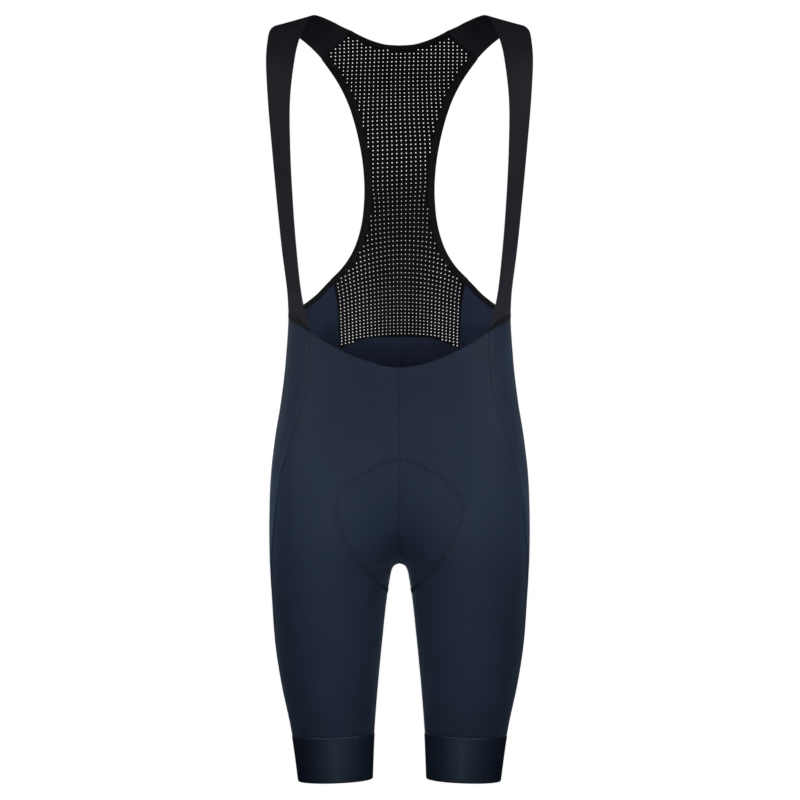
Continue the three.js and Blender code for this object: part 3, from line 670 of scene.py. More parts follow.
def edge_run(points, from_top):
    """Length down each column from the top edge, or up from the bottom edge."""
    run = np.linalg.norm(np.diff(points, axis=0), axis=-1)
    run = np.concatenate([np.zeros((1, run.shape[1])), np.cumsum(run, axis=0)])
    return run[-1] - run if from_top else run


def side_top(part):
    """The level where a column of the side panel meets the binding."""
    z = np.full(np.shape(part), FRONT_CORNER)
    for _ in range(40):
        z = lerp(z, side_edge(lerp(front_seam(z), back_seam(z), part)), 0.6)
    return z


def side_grid(count):
    half_gap = SEAM_GAP / 2
    level = levels(FRONT_CORNER)
    start = front_seam(level)
    end = back_seam(level)
    ahead = (end - start) * half_girth(level, True)
    behind = (end - start) * half_girth(level, False)
    part_low = EDGE_STEPS[None, :] / ahead[:, None]
    part_high = 1 - EDGE_STEPS[None, ::-1] / behind[:, None]
    middle = np.linspace(0, 1, count + 2)[None, 1:-1]
    part = np.concatenate([part_low, lerp(part_low[:, -1:], part_high[:, :1], middle), part_high], axis=1)
    tops = side_top(part)
    follow = smoothstep(level, CROTCH + 60, FRONT_CORNER)[:, None]
    z = level[:, None] + follow * (tops - 1.5 * SEAM_GAP + 2 * TUCK - FRONT_CORNER)
    front_girth = half_girth(z, True)
    back_girth = half_girth(z, False)
    low = front_seam(z) + half_gap / front_girth
    high = back_seam(z) - 2 * half_gap / back_girth
    girth = lerp(low, high, part)
    points, normals = on_body(girth, z)
    from_start = (girth - low) * front_girth
    to_end = (high - girth) * back_girth
    return points, normals, from_start, to_end


# The mesh and the bindings

ARM_ROWS = 17 * FINE
NECK_ROWS = 6 * FINE
ARM_LINE = evenly(ARM_EDGE, ARM_ROWS)
NECK_LINE = evenly(NECK_EDGE, NECK_ROWS)


def shifted(line, distance):
    """Each point of an open line moved sideways, to the left of its direction, in the plane of x and z."""
    step = np.gradient(line, axis=0)
    step /= np.linalg.norm(step, axis=1, keepdims=True)
    return line + np.stack([-step[:, 1], step[:, 0]], axis=1) * distance


def net_border():
    """The right-hand half of the mesh's border in x and z, from the middle of its foot to its neck edge.
    Each edge is tucked a little into what it is sewn to."""
    gap = SEAM_GAP / 2 - TUCK
    part = np.linspace(0, 1, 61)
    z = seat_edge(part) + gap
    whole = half_girth(z, False)
    reach = part * ((2 - back_seam(z)) * whole - gap)
    foot = on_body(2 - reach / whole, z)[0][:, [0, 2]]
    foot[0, 0] = 0
    z = np.linspace(SEAT_CORNER + gap, WING_TIP, 31)
    wing = on_body(back_seam(z) + (SEAM_GAP - TUCK) / half_girth(z, False), z)[0][:, [0, 2]]
    wing[0] = foot[-1]
    arm = shifted(ARM_LINE, SEAM_GAP - 2 * TUCK)
    arm[0] = wing[-1]
    neck = shifted(NECK_LINE, SEAM_GAP - 2 * TUCK)
    neck[-1, 0] = 0
    return np.concatenate([foot, wing[1:], arm[1:], neck])


def band(line, normals, width, steps, span=FINE):
    """A band on the body from a line of points, widening to one side by a width at each point."""
    count = len(line)
    k = np.arange(count)
    along = unit(line[np.minimum(k + span, count - 1)] - line[np.maximum(k - span, 0)])
    sideways = unit(np.cross(normals, along))
    shares = steps[None, :, None]
    flat = line[:, None, :] + sideways[:, None, :] * np.asarray(width)[:, None, None] * shares
    return settle(flat)


def arm_line():
    part = np.linspace(0, 1, 10 * FINE + 1)
    z = side_top(part)
    gap = SEAM_GAP / half_girth(z, True)
    low, low_normals = on_body(lerp(front_seam(z) + gap, back_seam(z), part), z)
    high, high_normals = on_back(ARM_LINE[1:, 0], ARM_LINE[1:, 1])
    parts = np.concatenate([part, 1 + np.arange(1, ARM_ROWS + 1) / ARM_ROWS])
    return np.concatenate([low, high]), np.concatenate([low_normals, high_normals]), parts


def neck_line():
    half, normals = on_back(NECK_LINE[:, 0], NECK_LINE[:, 1])
    flip = np.array([-1, 1, 1])
    return np.concatenate([half, half[-2::-1] * flip]), np.concatenate([normals, normals[-2::-1] * flip])


# The straps

STRAP_ROWS = 36 * 5


def strap_foot(shares):
    """Points of a strap's foot, on the upper edge of the arm binding."""
    line, normals, parts = arm_line()
    points, _ = band(line, normals, arm_tape_width(parts), np.array([0.0, 1.0]))
    low, high = points[:, 0], points[:, 1]
    raised = high + unit(high - low) * STRAP_GAP
    wanted = shares * 0.3
    return np.stack([np.interp(wanted, parts, column) for column in raised.T], axis=1)


def strap_end(shares):
    """Points of a strap's end, along the neck binding, the mesh and the arm binding."""
    line, normals, parts = arm_line()
    arm = band(line, normals, arm_tape_width(parts), np.array([0.0, 1.0]))[0][-1]
    line, normals = neck_line()
    neck = band(line, normals, np.full(len(line), NECK_TAPE_WIDTH), np.array([0.0, 1.0]))[0][0]
    last = (np.array(STRAP[-1]["inner"]) + np.array(STRAP[-1]["outer"])) / 2
    away = unit(last - (arm[0] + neck[0]) / 2) * (STRAP_GAP - 4 * TUCK)
    corners = np.array([neck[1], neck[0], arm[0], arm[1]]) + away
    return np.stack([np.interp(shares * 3, np.arange(4), column) for column in corners.T], axis=1)


def strap_grid(shares, rows):
    foot = strap_foot(shares)
    end = strap_end(shares)
    f = rows
    edges = []
    for key, first, last in (("inner", foot[0], end[0]), ("outer", foot[-1], end[-1])):
        edges.append(catmull([first] + [row[key] for row in STRAP] + [last], f))
    c = shares[None, :, None]
    straight = lerp(edges[0][:, None, :], edges[1][:, None, :], c)
    near_foot = smoothstep(1 - f, 1 - FOOT_BLEND, 1)[:, None, None]
    near_end = smoothstep(f, 1 - END_BLEND, 1)[:, None, None]
    points = straight + (foot - straight[0])[None] * near_foot + (end - straight[-1])[None] * near_end
    along = np.gradient(points, axis=0)
    across = points[:, -1] - points[:, 0]
    normals = unit(np.cross(np.broadcast_to(across[:, None, :], along.shape), along))
    return points, normals


# The pad


def round_crotch(x, angle):
    """Points of the body surface at distances from the centre line, at angles round the crotch."""
    x, angle = np.broadcast_arrays(np.asarray(x, float), np.asarray(angle, float))
    y_step = np.sin(np.radians(angle))
    z_step = -np.cos(np.radians(angle))
    near = np.full(x.shape, 20.0)
    far = np.full(x.shape, 260.0)
    for _ in range(40):
        middle = (near + far) / 2
        is_inside = outside(x, PAD_CENTRE_Y + y_step * middle, PAD_CENTRE_Z + z_step * middle) < 0
        near = np.where(is_inside, middle, near)
        far = np.where(is_inside, far, middle)
    return np.stack([x, PAD_CENTRE_Y + y_step * near, PAD_CENTRE_Z + z_step * near], axis=-1)


def pad_points(angle, lengths):
    """Points at lengths along the cloth from the centre line, a row for each angle."""
    x = np.arange(0, 121, 1.0)
    lines = round_crotch(x[None, :], angle[:, None])
    run = np.linalg.norm(np.diff(lines, axis=1), axis=-1)
    run = np.concatenate([np.zeros((len(angle), 1)), np.cumsum(run, axis=1)], axis=1)
    out = np.empty(lengths.shape + (3,))
    for row in range(len(angle)):
        for axis in range(3):
            out[row, :, axis] = np.interp(lengths[row], run[row], lines[row, :, axis])
    return out


def pad_stitch_path():
    """The closed line round the pad that its stitching follows."""
    angle = np.linspace(PAD_OUTLINE[0]["angle"], PAD_OUTLINE[-1]["angle"], 400)
    half = pad_half(angle)
    points = pad_points(angle, half[:, None])[:, 0]
    loop = np.concatenate([points, points[::-1] * np.array([-1, 1, 1])])
    loop = np.concatenate([loop, loop[:1]])
    return loop


# Materials


def node_material(name):
    material = bpy.data.materials.new(name)
    material.use_nodes = True
    tree = material.node_tree
    shader = tree.nodes["Principled BSDF"]
    return material, tree, shader


def ribs(tree, vector, axis, period):
    """Fine ribs across one axis of the cloth, with a period in millimetres."""
    wave = tree.nodes.new("ShaderNodeTexWave")
    wave.bands_direction = axis
    wave.inputs["Scale"].default_value = math.pi / 10 / period
    wave.inputs["Distortion"].default_value = 0.7
    wave.inputs["Detail"].default_value = 1
    tree.links.new(vector, wave.inputs["Vector"])
    return wave.outputs["Fac"]


def blend(tree, factor, low, high):
    """A colour between two, by a factor. Each is a colour or a socket that gives one."""
    mix = tree.nodes.new("ShaderNodeMix")
    mix.data_type = "RGBA"
    for socket, colour in (("A", low), ("B", high)):
        if isinstance(colour, bpy.types.NodeSocket):
            tree.links.new(colour, mix.inputs[socket])
        else:
            mix.inputs[socket].default_value = tuple(colour) + (1,)
    tree.links.new(factor, mix.inputs["Factor"])
    return mix.outputs["Result"]


def ranged(tree, value, low, high, target):
    """A value of 0 to 1 spread over another range, on a socket."""
    spread_out = tree.nodes.new("ShaderNodeMapRange")
    spread_out.inputs["To Min"].default_value = low
    spread_out.inputs["To Max"].default_value = high
    tree.links.new(value, spread_out.inputs["Value"])
    tree.links.new(spread_out.outputs["Result"], target)


def relief(tree, height, depth, strength, target):
    """Height of 0 to 1 raised by a depth in millimetres."""
    bump = tree.nodes.new("ShaderNodeBump")
    bump.inputs["Strength"].default_value = strength
    bump.inputs["Distance"].default_value = depth * MM
    tree.links.new(height, bump.inputs["Height"])
    tree.links.new(bump.outputs["Normal"], target)


def shades(colour, contrast):
    return [[c * (1 - contrast) for c in colour], [c * (1 + contrast) for c in colour]]


def knit(name, colour, wale, course, roughness, specular, sheen, contrast, depth, reverse=None):
    """A knit or woven cloth: wales along the piece and rows of loops across it, both in millimetres,
    a slight unevenness of the dye, and a soft sheen."""
    material, tree, shader = node_material(name)
    nodes, links = tree.nodes, tree.links
    cloth = nodes.new("ShaderNodeAttribute")
    cloth.attribute_name = "cloth"
    loops = nodes.new("ShaderNodeMath")
    loops.operation = "MULTIPLY"
    links.new(ribs(tree, cloth.outputs["Vector"], "X", wale), loops.inputs[0])
    links.new(ribs(tree, cloth.outputs["Vector"], "Y", course), loops.inputs[1])
    place = nodes.new("ShaderNodeTexCoord")
    dye = nodes.new("ShaderNodeTexNoise")
    dye.inputs["Scale"].default_value = 22
    dye.inputs["Detail"].default_value = 5
    links.new(place.outputs["Object"], dye.inputs["Vector"])
    tone = nodes.new("ShaderNodeMath")
    tone.operation = "MULTIPLY_ADD"
    tone.inputs[1].default_value = 0.45
    links.new(loops.outputs["Value"], tone.inputs[0])
    links.new(dye.outputs["Fac"], tone.inputs[2])
    result = blend(tree, tone.outputs["Value"], *shades(colour, contrast))
    # The reverse side gets a colour of its own, set by the cloth's side flag. For the navy this is a bluer
    # inside. For the strap elastic it is a darker colour that is painted shade for the strap's underside,
    # which faces the body.
    if reverse:
        side = nodes.new("ShaderNodeSeparateXYZ")
        links.new(cloth.outputs["Vector"], side.inputs["Vector"])
        behind = blend(tree, tone.outputs["Value"], *shades(reverse, contrast))
        result = blend(tree, side.outputs["Z"], result, behind)
    links.new(result, shader.inputs["Base Color"])
    ranged(tree, loops.outputs["Value"], roughness + 0.06, roughness - 0.04, shader.inputs["Roughness"])
    relief(tree, loops.outputs["Value"], depth, 0.35, shader.inputs["Normal"])
    shader.inputs["Specular IOR Level"].default_value = specular
    shader.inputs["Sheen Weight"].default_value = sheen
    shader.inputs["Sheen Roughness"].default_value = 0.45
    shader.inputs["Sheen Tint"].default_value = (0.5, 0.68, 1, 1)
    return material


def thread(name, colour, twist):
    """A sewing thread with its twist, in millimetres a turn."""
    material, tree, shader = node_material(name)
    cloth = tree.nodes.new("ShaderNodeAttribute")
    cloth.attribute_name = "cloth"
    plies = ribs(tree, cloth.outputs["Vector"], "DIAGONAL", twist)
    tree.links.new(blend(tree, plies, *shades(colour, 0.3)), shader.inputs["Base Color"])
    relief(tree, plies, 0.08, 0.5, shader.inputs["Normal"])
    shader.inputs["Roughness"].default_value = 0.6
    shader.inputs["Specular IOR Level"].default_value = 0.1
    return material


NAVY = knit(
    "navy knit", (0.0142, 0.0235, 0.0435), 0.42, 0.3, 0.5, 0.08, 0.13, 0.12, 0.07, (0.0142, 0.0226, 0.05)
)
NAVY_DARK = knit("navy gripper", (0.0072, 0.0113, 0.0236), 0.7, 0.35, 0.4, 0.75, 0.0, 0.12, 0.05)
# The strap's reverse colour, darker than its face, is painted shade for its underside seen past the shoulder.
STRAP_BLACK = knit(
    "strap elastic", (0.0222, 0.0212, 0.0285), 1.3, 0.6, 0.6, 0.1, 0.02, 0.15, 0.15, (0.0115, 0.011, 0.0152)
)
NET_BLACK = knit("perforated knit", (0.006, 0.006, 0.008), 0.5, 0.4, 0.7, 0.06, 0.0, 0.2, 0.08)
NAVY_DARK.node_tree.nodes["Principled BSDF"].inputs["Specular Tint"].default_value = (0.53, 0.75, 1, 1)
TAPE_BLACK = knit("binding elastic", (0.008, 0.008, 0.01), 0.6, 0.45, 0.6, 0.08, 0.01, 0.2, 0.1)
FOAM = knit("pad cover", (0.02, 0.022, 0.027), 0.8, 0.6, 0.85, 0.1, 0.05, 0.2, 0.15)
# Near-black thread: partly its own dark colour, partly painted shade for the seam grooves and the puckers
# round the pad's stitches.
DARK_THREAD_AND_SHADE = thread("dark thread and painted shade", (0.004, 0.0055, 0.0095), 0.5)
THREAD_NAVY = thread("navy thread", (0.009, 0.0145, 0.026), 0.5)

# The panels

ROLL = 1.5  # width of the rounded edge of a panel
ROLL_DEPTH = 0.7
INNER_ROLL = 0.3  # share of that depth on the inner face
CENTRE_ROLL = 0.35  # share of that depth along the centre seams, which lie flatter
CUFF_SEAM_ROLL = 0.6  # and along the top of a cuff
RIDGE = 0.8
RIDGE_MIDDLE = 5.0
RIDGE_WIDTH = 3.0
PAD_GROOVE = 0.25
PAD_GROOVE_WIDTH = 3.4


def roll(distance):
    """How far a panel's face drops at its rounded edge."""
    t = np.clip(distance / ROLL, 0, 1)
    return ROLL_DEPTH * (1 - np.sqrt(1 - (1 - t) ** 2))


def pad_relief(points):
    """The groove that the pad's stitching pulls into the cloth."""
    loop = pad_stitch_path()
    tree = kdtree.KDTree(len(loop))
    for k, point in enumerate(loop.tolist()):
        tree.insert(point, k)
    tree.balance()
    flat = points.reshape(-1, 3)
    gap = np.array([tree.find(point)[2] for point in flat.tolist()]).reshape(points.shape[:2])
    return -PAD_GROOVE * np.exp(-((gap / PAD_GROOVE_WIDTH) ** 2))


def seam_ridge(distance):
    """The seam allowance behind the cloth lifts it into a low ridge."""
    return RIDGE * np.exp(-(((distance - RIDGE_MIDDLE) / RIDGE_WIDTH) ** 2))


def dress_panel(name, grid, material):
    points, normals, from_start, to_end = grid
    below = edge_run(points, False)
    above = edge_run(points, True)
    if name == "side":
        drop = roll(np.minimum(np.minimum(from_start, to_end), np.minimum(above, below)))
        lift = seam_ridge(from_start) + seam_ridge(to_end)
        inner_lift = 0.0
    else:
        drop = roll(np.minimum(to_end, np.minimum(above, below)))
        drop = np.maximum(drop, CENTRE_ROLL * roll(from_start))
        lift = pad_relief(points)
        inner_lift = lift
    places = np.stack([from_start, above], axis=-1)
    made = []
    for side, mirror in (("left", False), ("right", True)):
        piece = wall(
            f"{name}_{side}_cloth",
            (points, normals),
            lift - drop,
            inner_lift - CLOTH + INNER_ROLL * drop,
            material,
            places,
            mirror=mirror,
        )
        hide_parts(f"{name}_{side}")
        made.append(piece)
    return made


front_pieces = dress_panel(
    "front", centre_grid(True, front_seam, FRONT_CORNER, scoop_edge, 44), NAVY
)
side_pieces = dress_panel("side", side_grid(36), NAVY)
seat_pieces = dress_panel(
    "seat",
    centre_grid(False, back_seam, SEAT_CORNER, lambda part: seat_edge(part) - SEAM_GAP / 2, 40),
    NAVY,
)


def dress_cuffs():
    top = CUFF_TOP - 0.75 * SEAM_GAP
    rows = np.concatenate([HEM + EDGE_STEPS, np.linspace(HEM + 9, top - 9, 14), (top - EDGE_STEPS)[::-1]])
    part = np.linspace(0, 1, 181)[:-1]
    points, normals = on_body(2 * part[None, :], rows[:, None])
    nearest = np.minimum(rows - HEM, top - rows)[:, None]
    at_seam = np.where(top - rows < ROLL, CUFF_SEAM_ROLL, 1.0)[:, None]
    drop = np.broadcast_to(roll(nearest) * at_seam, points.shape[:2])
    places = np.stack(np.broadcast_arrays(part[None, :] * 300, rows[:, None]), axis=-1)
    made = []
    for side, mirror in (("left", False), ("right", True)):
        piece = wall(
            f"cuff_{side}_cloth", (points, normals), 0.5 - drop, 0.5 - CUFF + drop, NAVY_DARK, places,
            is_ring=True, mirror=mirror,
        )
        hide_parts(f"cuff_{side}")
        made.append(piece)
    return made


cuff_pieces = dress_cuffs()


def dress_straps():
    shares = np.concatenate([[0, 0.004, 0.012, 0.03], np.linspace(0.06, 0.94, 21), [0.97, 0.988, 0.996, 1]])
    f = np.concatenate([[0, 0.0005, 0.0015], np.linspace(0.003, 0.997, STRAP_ROWS), [0.9985, 0.9995, 1]])
    points, normals = strap_grid(shares, f)
    width = np.linalg.norm(points[:, -1] - points[:, 0], axis=-1)
    across = shares[None, :] * width[:, None]
    nearest = np.minimum(across, width[:, None] - across)
    drop = roll(nearest)
    places = np.stack([across, edge_run(points, False)], axis=-1)
    made = []
    for side, mirror in (("left", False), ("right", True)):
        piece = wall(
            f"strap_{side}_elastic", (points, normals), CLOTH - drop, drop, STRAP_BLACK, places, mirror=mirror
        )
        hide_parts(f"strap_{side}")
        made.append(piece)
    return made


strap_pieces = dress_straps()

TAPE_STEPS = np.array([0, 0.02, 0.06, 0.12, 0.2, 0.35, 0.5, 0.65, 0.8, 0.88, 0.94, 0.98, 1])


TAPE_PROUD = 0.3  # how far the binding stands out from the face of what it is sewn to
TAPE_ROLL = 1.5  # how much rounder its folded edges are than a cloth edge


def folded_tape(node, line, normals, width, mirror=False):
    """A binding along a line: a flat band with both edges rolled over."""
    points, normals = band(line, normals, width, TAPE_STEPS)
    across = TAPE_STEPS[None, :] * width[:, None]
    nearest = np.minimum(TAPE_STEPS, 1 - TAPE_STEPS)[None, :] * width[:, None]
    drop = roll(nearest) * TAPE_ROLL
    places = np.stack([across, edge_run(points, False)], axis=-1)
    top = TAPE_PROUD - drop
    bottom = TAPE_PROUD - TAPE + drop
    piece = wall(f"{node}_tape", (points, normals), top, bottom, TAPE_BLACK, places, mirror=mirror)
    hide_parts(node)
    return piece


def dress_tapes():
    line, normals, parts = arm_line()
    width = arm_tape_width(parts)
    made = [
        folded_tape("binding_arm_left", line, normals, width),
        folded_tape("binding_arm_right", line, normals, width, True),
    ]
    line, normals = neck_line()
    width = np.full(len(line), NECK_TAPE_WIDTH)
    return made + [folded_tape("binding_neck", line, normals, width)]


tape_pieces = dress_tapes()


# The mesh, with its holes cut through


def inside_border(points, border):
    """Whether points lie inside a closed line, and how far they are from it."""
    a = border
    b = np.roll(border, -1, axis=0)
    x, z = points[:, 0:1], points[:, 1:2]
    rise = np.where(b[:, 1] == a[:, 1], 1e-9, b[:, 1] - a[:, 1])
    line_x = (b[:, 0] - a[:, 0]) * (z - a[:, 1]) / rise + a[:, 0]
    crosses = ((a[:, 1] > z) != (b[:, 1] > z)) & (x < line_x)
    is_in = crosses.sum(axis=1) % 2 == 1
    step = b - a
    t = ((x - a[:, 0]) * step[:, 0] + (z - a[:, 1]) * step[:, 1]) / np.maximum((step**2).sum(axis=1), 1e-9)
    t = np.clip(t, 0, 1)
    gap = np.hypot(x - a[:, 0] - t * step[:, 0], z - a[:, 1] - t * step[:, 1]).min(axis=1)
    return is_in, gap


def holes():
    """Centres of the mesh's holes in x and z, on the back, and their radii."""
    row_z = curve(HOLE_ROWS, "z", "row")
    keys = {key: curve(HOLE_COLUMNS, key, "z") for key in ("shift", "pitch", "tilt", "arch", "radius")}
    rows = np.arange(HOLE_ROWS[0]["row"], HOLE_ROWS[-1]["row"] + 1)
    row, column = np.meshgrid(rows, np.arange(-HOLE_REACH, HOLE_REACH + 1), indexing="ij")
    z = row_z(row.ravel())
    x = keys["shift"](z) + keys["pitch"](z) * column.ravel()
    side = x / HOLE_SPAN
    seen_z = z - keys["tilt"](z) * side - keys["arch"](z) * side**2
    far_x, far_z = x, seen_z
    for _ in range(3):
        depth = on_back(far_x, far_z)[0][:, 1]
        scale = 1 + depth / CAMERA_AWAY
        far_x = x * scale
        far_z = CAMERA_LEVEL + (seen_z - CAMERA_LEVEL) * scale
    flank = smoothstep(np.abs(x), 14, 54) * smoothstep(-z, 235, 290)
    return np.stack([far_x, far_z], axis=1), keys["radius"](z) * (1 + FLANK_STRETCH * flank)


def dress_net():
    half = net_border()
    other = half[-2:0:-1] * np.array([-1, 1])
    border = np.concatenate([half, other])
    centres, radii = holes()
    is_in, gap = inside_border(centres, border)
    is_kept = is_in & (gap > HOLE_MARGIN)
    centres = centres[is_kept]
    radii = radii[is_kept, None]
    slope = np.abs(on_back(centres[:, 0], centres[:, 1])[1][:, 1])
    turn = np.linspace(0, 2 * np.pi, HOLE_SIDES, endpoint=False)
    ring_x = centres[:, 0:1] + np.cos(turn)[None, :] * radii * slope[:, None]
    ring_z = centres[:, 1:2] + np.sin(turn)[None, :] * radii
    rings = np.stack([ring_x, ring_z], axis=-1).reshape(-1, 2)
    flat = np.concatenate([border, rings])
    count = len(border)
    edges = [(k, (k + 1) % count) for k in range(count)]
    for h in range(len(centres)):
        start = count + h * HOLE_SIDES
        edges += [(start + k, start + (k + 1) % HOLE_SIDES) for k in range(HOLE_SIDES)]
    out = geometry.delaunay_2d_cdt([Vector(p) for p in flat.tolist()], edges, [], 1, 1e-5)
    verts = np.array([tuple(v) for v in out[0]])
    faces = np.array([tuple(f) for f in out[2]])
    source = np.array([ids[0] if ids else 0 for ids in out[3]])
    hole = np.where(source < count, -1, (source - count) // HOLE_SIDES)[faces]
    is_hole = (hole[:, 0] >= 0) & (hole[:, 0] == hole[:, 1]) & (hole[:, 0] == hole[:, 2])
    faces = faces[~is_hole]
    points, normals = on_back(verts[:, 0], verts[:, 1])
    total = len(points)
    top = points + normals * -NET_INSET
    bottom = points + normals * (-NET_INSET - NET)
    a, b, c = (points[faces[:, k]] for k in range(3))
    turned = np.einsum("ij,ij->i", np.cross(b - a, c - a), normals[faces[:, 0]]) < 0
    faces[turned] = faces[turned][:, ::-1]
    directed = np.concatenate([faces[:, [0, 1]], faces[:, [1, 2]], faces[:, [2, 0]]])
    known = {tuple(edge) for edge in directed.tolist()}
    rim = [edge for edge in directed.tolist() if (edge[1], edge[0]) not in known]
    all_faces = faces.tolist() + (faces[:, ::-1] + total).tolist()
    all_faces += [(b, a, a + total, b + total) for a, b in rim]
    places = two_sided(points[:, [0, 2]])
    piece = make("mesh_back_net", np.concatenate([top, bottom]), all_faces, NET_BLACK, places)
    piece.data.set_sharp_from_angle(angle=math.radians(50))
    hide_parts("mesh_back")
    return piece


net_piece = dress_net()


# Sewing

# The seam threads sit just under the surface so that they show as a thin dark line. That line is partly
# painted shade of the groove between the panels.
THREAD_RADIUS = 0.48
THREAD_DEPTH = 0.75  # the seam thread lies in the groove between two panels
FLAT_DEPTH = 0.72  # and less deep where the seam lies flatter


def seam_line(girth_of, low, high, count, depth=THREAD_DEPTH):
    z = np.linspace(low, high, count)
    points, normals = on_body(girth_of(z), z)
    return points - normals * depth, normals


def centre_seam(is_front, top):
    z, _ = CENTRE_LINES[is_front]
    z = np.append(z[z < top], top)
    girth = np.full(z.shape, 0.0 if is_front else 2.0)
    points, normals = on_body(girth, z)
    points = points - normals * FLAT_DEPTH
    even = resample(np.concatenate([points, normals], axis=1), 110)
    return even[:, :3], unit(even[:, 3:])


def inseam(z):
    return np.zeros(z.shape)


def dress_seams():
    bottom = CUFF_TOP + 0.5
    for side, mirror in (("left", False), ("right", True)):
        lines = [
            seam_line(front_seam, bottom, FRONT_CORNER - 1, 170),
            seam_line(back_seam, bottom, WING_TIP - 1, 190),
            seam_line(inseam, bottom, CROTCH - 1, 90, FLAT_DEPTH),
        ]
        tube(f"seam_threads_{side}", lines, THREAD_RADIUS, 6, DARK_THREAD_AND_SHADE, mirror)
        part = np.linspace(0, 1, 181)
        points, normals = on_body(2 * part, np.full(part.shape, CUFF_TOP))
        ring = [(points - normals * THREAD_DEPTH, normals)]
        tube(f"cuff_seam_{side}", ring, THREAD_RADIUS, 6, DARK_THREAD_AND_SHADE, mirror)
    part = np.linspace(0, 1, 41)
    z = seat_edge(part)
    whole = half_girth(z, False)
    points, normals = on_body(2 - part * (2 - back_seam(z)), z)
    points = points - normals * FLAT_DEPTH
    flip = np.array([-1, 1, 1])
    points = np.concatenate([points[::-1], points[1:] * flip])
    normals = np.concatenate([normals[::-1], normals[1:] * flip])
    lines = [centre_seam(True, -409.6), centre_seam(False, -369.5), (points, normals)]
    tube("seam_threads_centre", lines, THREAD_RADIUS, 6, THREAD_NAVY)


dress_seams()

STITCH_PITCH = 4.4
STITCH_WIDTH = 5.6
STITCH_SWING = 0.9  # every other stitch lies a little further out, the others further in
STITCH_RADIUS = 0.62
STITCH_TOP = -0.15  # the middle of a stitch lies proud of the groove
STITCH_END = -0.8  # and its ends lie below the cloth
STITCH_SMOOTHING = 4


def pad_stitches():
    """One thread round the pad: a stitch across the line, a step along it out of sight, and so on."""
    loop = pad_stitch_path()
    length = np.linalg.norm(np.diff(loop, axis=0), axis=1).sum()
    count = int(length / STITCH_PITCH) // 2 * 2
    even = resample(loop, count)[:-1]
    around = np.arange(-STITCH_SMOOTHING, STITCH_SMOOTHING + 1)
    near = (np.arange(count)[:, None] + around[None, :]) % count
    even, normals = settle(even[near].mean(axis=1))
    along = unit(np.roll(even, -1, axis=0) - np.roll(even, 1, axis=0))
    side = unit(np.cross(normals, along))
    sign = np.where(np.arange(count) % 2 == 0, 1, -1)[:, None, None]
    share = np.linspace(0, 1, 7)
    across = (share - 0.5)[None, :, None] * sign * STITCH_WIDTH + sign * STITCH_SWING
    line = even[:, None, :] + side[:, None, :] * across
    line, line_normals = settle(line.reshape(-1, 3))
    height = lerp(STITCH_END, STITCH_TOP, np.sqrt(np.sin(share * np.pi)))
    return line + line_normals * np.tile(height, count)[:, None], line_normals


# The seat pad


def dress_pad():
    angle = np.linspace(PAD_OUTLINE[0]["angle"], PAD_OUTLINE[-1]["angle"], 111)
    half = pad_half(angle)
    share = np.linspace(-1, 1, 71)
    lengths = np.abs(share)[None, :] * half[:, None]
    points = pad_points(angle, lengths)
    points[..., 0] *= np.sign(share)[None, :]
    normals = normal_at(points)
    rim = np.minimum(1, 6 * np.minimum(np.linspace(0, 1, 111), np.linspace(1, 0, 111)))
    side = np.minimum(1, 2.2 * (1 - np.abs(share)))
    swell = np.sin(rim[:, None] * np.pi / 2) * np.sin(side[None, :] * np.pi / 2)
    depth = lerp(PAD_EDGE, PAD, swell)
    out = -(CLOTH + PAD_GAP)
    places = np.stack([lengths, edge_run(points, False)], axis=-1)
    piece = wall("pad_foam", (points, normals), out, out - depth, FOAM, places)
    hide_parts("pad")
    return piece


pad_piece = dress_pad()
# The pad's stitches use the near-black thread, which partly stands in as painted shade of the puckers round
# them.
tube("pad_stitching", [pad_stitches()], STITCH_RADIUS, 6, DARK_THREAD_AND_SHADE)


# Floor, light and camera


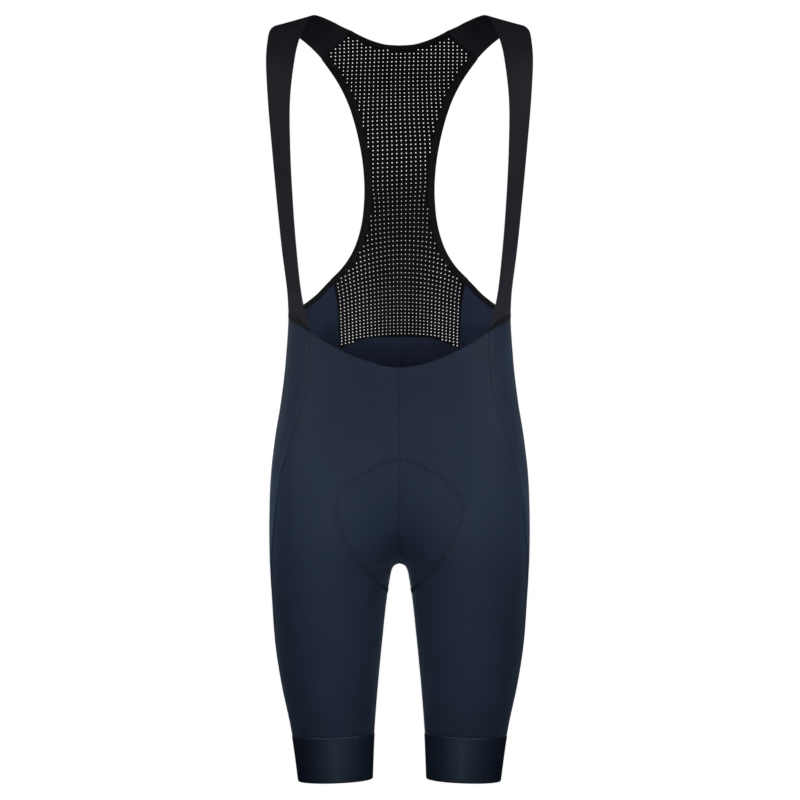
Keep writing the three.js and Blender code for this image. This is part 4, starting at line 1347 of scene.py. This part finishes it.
def stage_and_camera():
    scene = bpy.context.scene
    mesh = bpy.data.meshes.new("floor")
    reach, level = 30.0, -1.3
    corners = [(-reach, -reach, level), (reach, -reach, level), (reach, reach, level), (-reach, reach, level)]
    mesh.from_pydata(corners, [], [(0, 1, 2, 3)])
    floor = bpy.data.objects.new("floor", mesh)
    scene.collection.objects.link(floor)
    paint = bpy.data.materials.new("pale floor")
    paint.use_nodes = True
    shader = paint.node_tree.nodes["Principled BSDF"]
    shader.inputs["Base Color"].default_value = (0.95, 0.95, 0.95, 1)
    shader.inputs["Roughness"].default_value = 0.9
    shader.inputs["Emission Color"].default_value = (1, 1, 1, 1)
    shader.inputs["Emission Strength"].default_value = 1.0
    mesh.materials.append(paint)
    floor.visible_diffuse = False
    floor.visible_glossy = False

    world = bpy.data.worlds.new("studio")
    world.use_nodes = True
    scene.world = world
    nodes, links = world.node_tree.nodes, world.node_tree.links
    nodes.clear()
    ray = nodes.new("ShaderNodeLightPath")
    seen = nodes.new("ShaderNodeBackground")
    seen.inputs["Color"].default_value = (1, 1, 1, 1)
    seen.inputs["Strength"].default_value = 1.0
    fill = nodes.new("ShaderNodeBackground")
    fill.inputs["Color"].default_value = (1, 1, 1, 1)
    fill.inputs["Strength"].default_value = 0.0
    mix = nodes.new("ShaderNodeMixShader")
    out = nodes.new("ShaderNodeOutputWorld")
    links.new(ray.outputs["Is Camera Ray"], mix.inputs["Fac"])
    links.new(fill.outputs["Background"], mix.inputs[1])
    links.new(seen.outputs["Background"], mix.inputs[2])
    links.new(mix.outputs["Shader"], out.inputs["Surface"])

    def area(name, place, aim, size, power, beam=180):
        light = bpy.data.lights.new(name, "AREA")
        light.shape = "RECTANGLE"
        light.size, light.size_y = size
        light.energy = power
        light.spread = math.radians(beam)
        lamp = bpy.data.objects.new(name, light)
        lamp.location = place
        lamp.rotation_euler = (Vector(aim) - Vector(place)).to_track_quat("-Z", "Y").to_euler()
        scene.collection.objects.link(lamp)

    # azimuth: degrees round from the front to the wearer's left. level: height of the light.
    lamps = table(
        "name azimuth level power beam",
        ("front", -6, -0.2, 5.8, 180),
        ("front_right", -35, -0.45, 5, 180),
        ("front_left", 35, -0.45, 5.8, 180),
        ("side_right", -60, 0.1, 2.4, 80),
        ("side_left", 62, 0.1, 3.0, 80),
        ("rim_right", -140, 0.3, 4, 180),
        ("rim_left", 140, 0.3, 2.5, 180),
        ("back", 180, -0.4, 18, 180),
    )
    for lamp in lamps:
        turn = math.radians(lamp["azimuth"])
        place = (LAMP_AWAY * math.sin(turn), -LAMP_AWAY * math.cos(turn), lamp["level"])
        aim = (0, 0, lamp["level"] / 2 - 0.25)
        area(lamp["name"], place, aim, (0.9, 0.8), lamp["power"], lamp["beam"])
    area("low", (0, -0.7, -0.98), (0, 0, -0.76), (0.25, 0.2), 0.2)
    # Narrow lights on single places of the garment.
    small = (0.2, 0.15)
    area("neck", (0, -LAMP_AWAY, -0.3), (0, 0, -0.36), small, 0.012, 6)
    for name, side in (("right", -1), ("left", 1)):
        thigh, knee, hip = side * 0.13, side * 0.06, side * 0.12
        area("thigh_" + name, (thigh, -LAMP_AWAY, -0.56), (thigh, 0, -0.56), small, 0.045, 7)
        area("knee_" + name, (knee, -LAMP_AWAY, -0.75), (knee, 0, -0.75), small, 0.022, 8)
        area("flank_" + name, (side * LAMP_AWAY, -0.5, -0.2), (hip, 0, -0.4), (0.3, 0.2), 0.06, 9)

    camera = bpy.data.cameras.new("camera")
    camera.sensor_width = SENSOR
    camera.lens = SENSOR * CAMERA_AWAY / (PIXEL * PHOTO_WIDTH)
    camera.shift_x = 0.5 / PHOTO_WIDTH
    camera.clip_end = 200
    eye = bpy.data.objects.new("camera", camera)
    eye.location = (0, -CAMERA_AWAY * MM, CAMERA_LEVEL * MM)
    eye.rotation_euler = (math.pi / 2, 0, 0)
    scene.collection.objects.link(eye)
    scene.camera = eye
    scene.view_settings.view_transform = "Standard"


stage_and_camera()
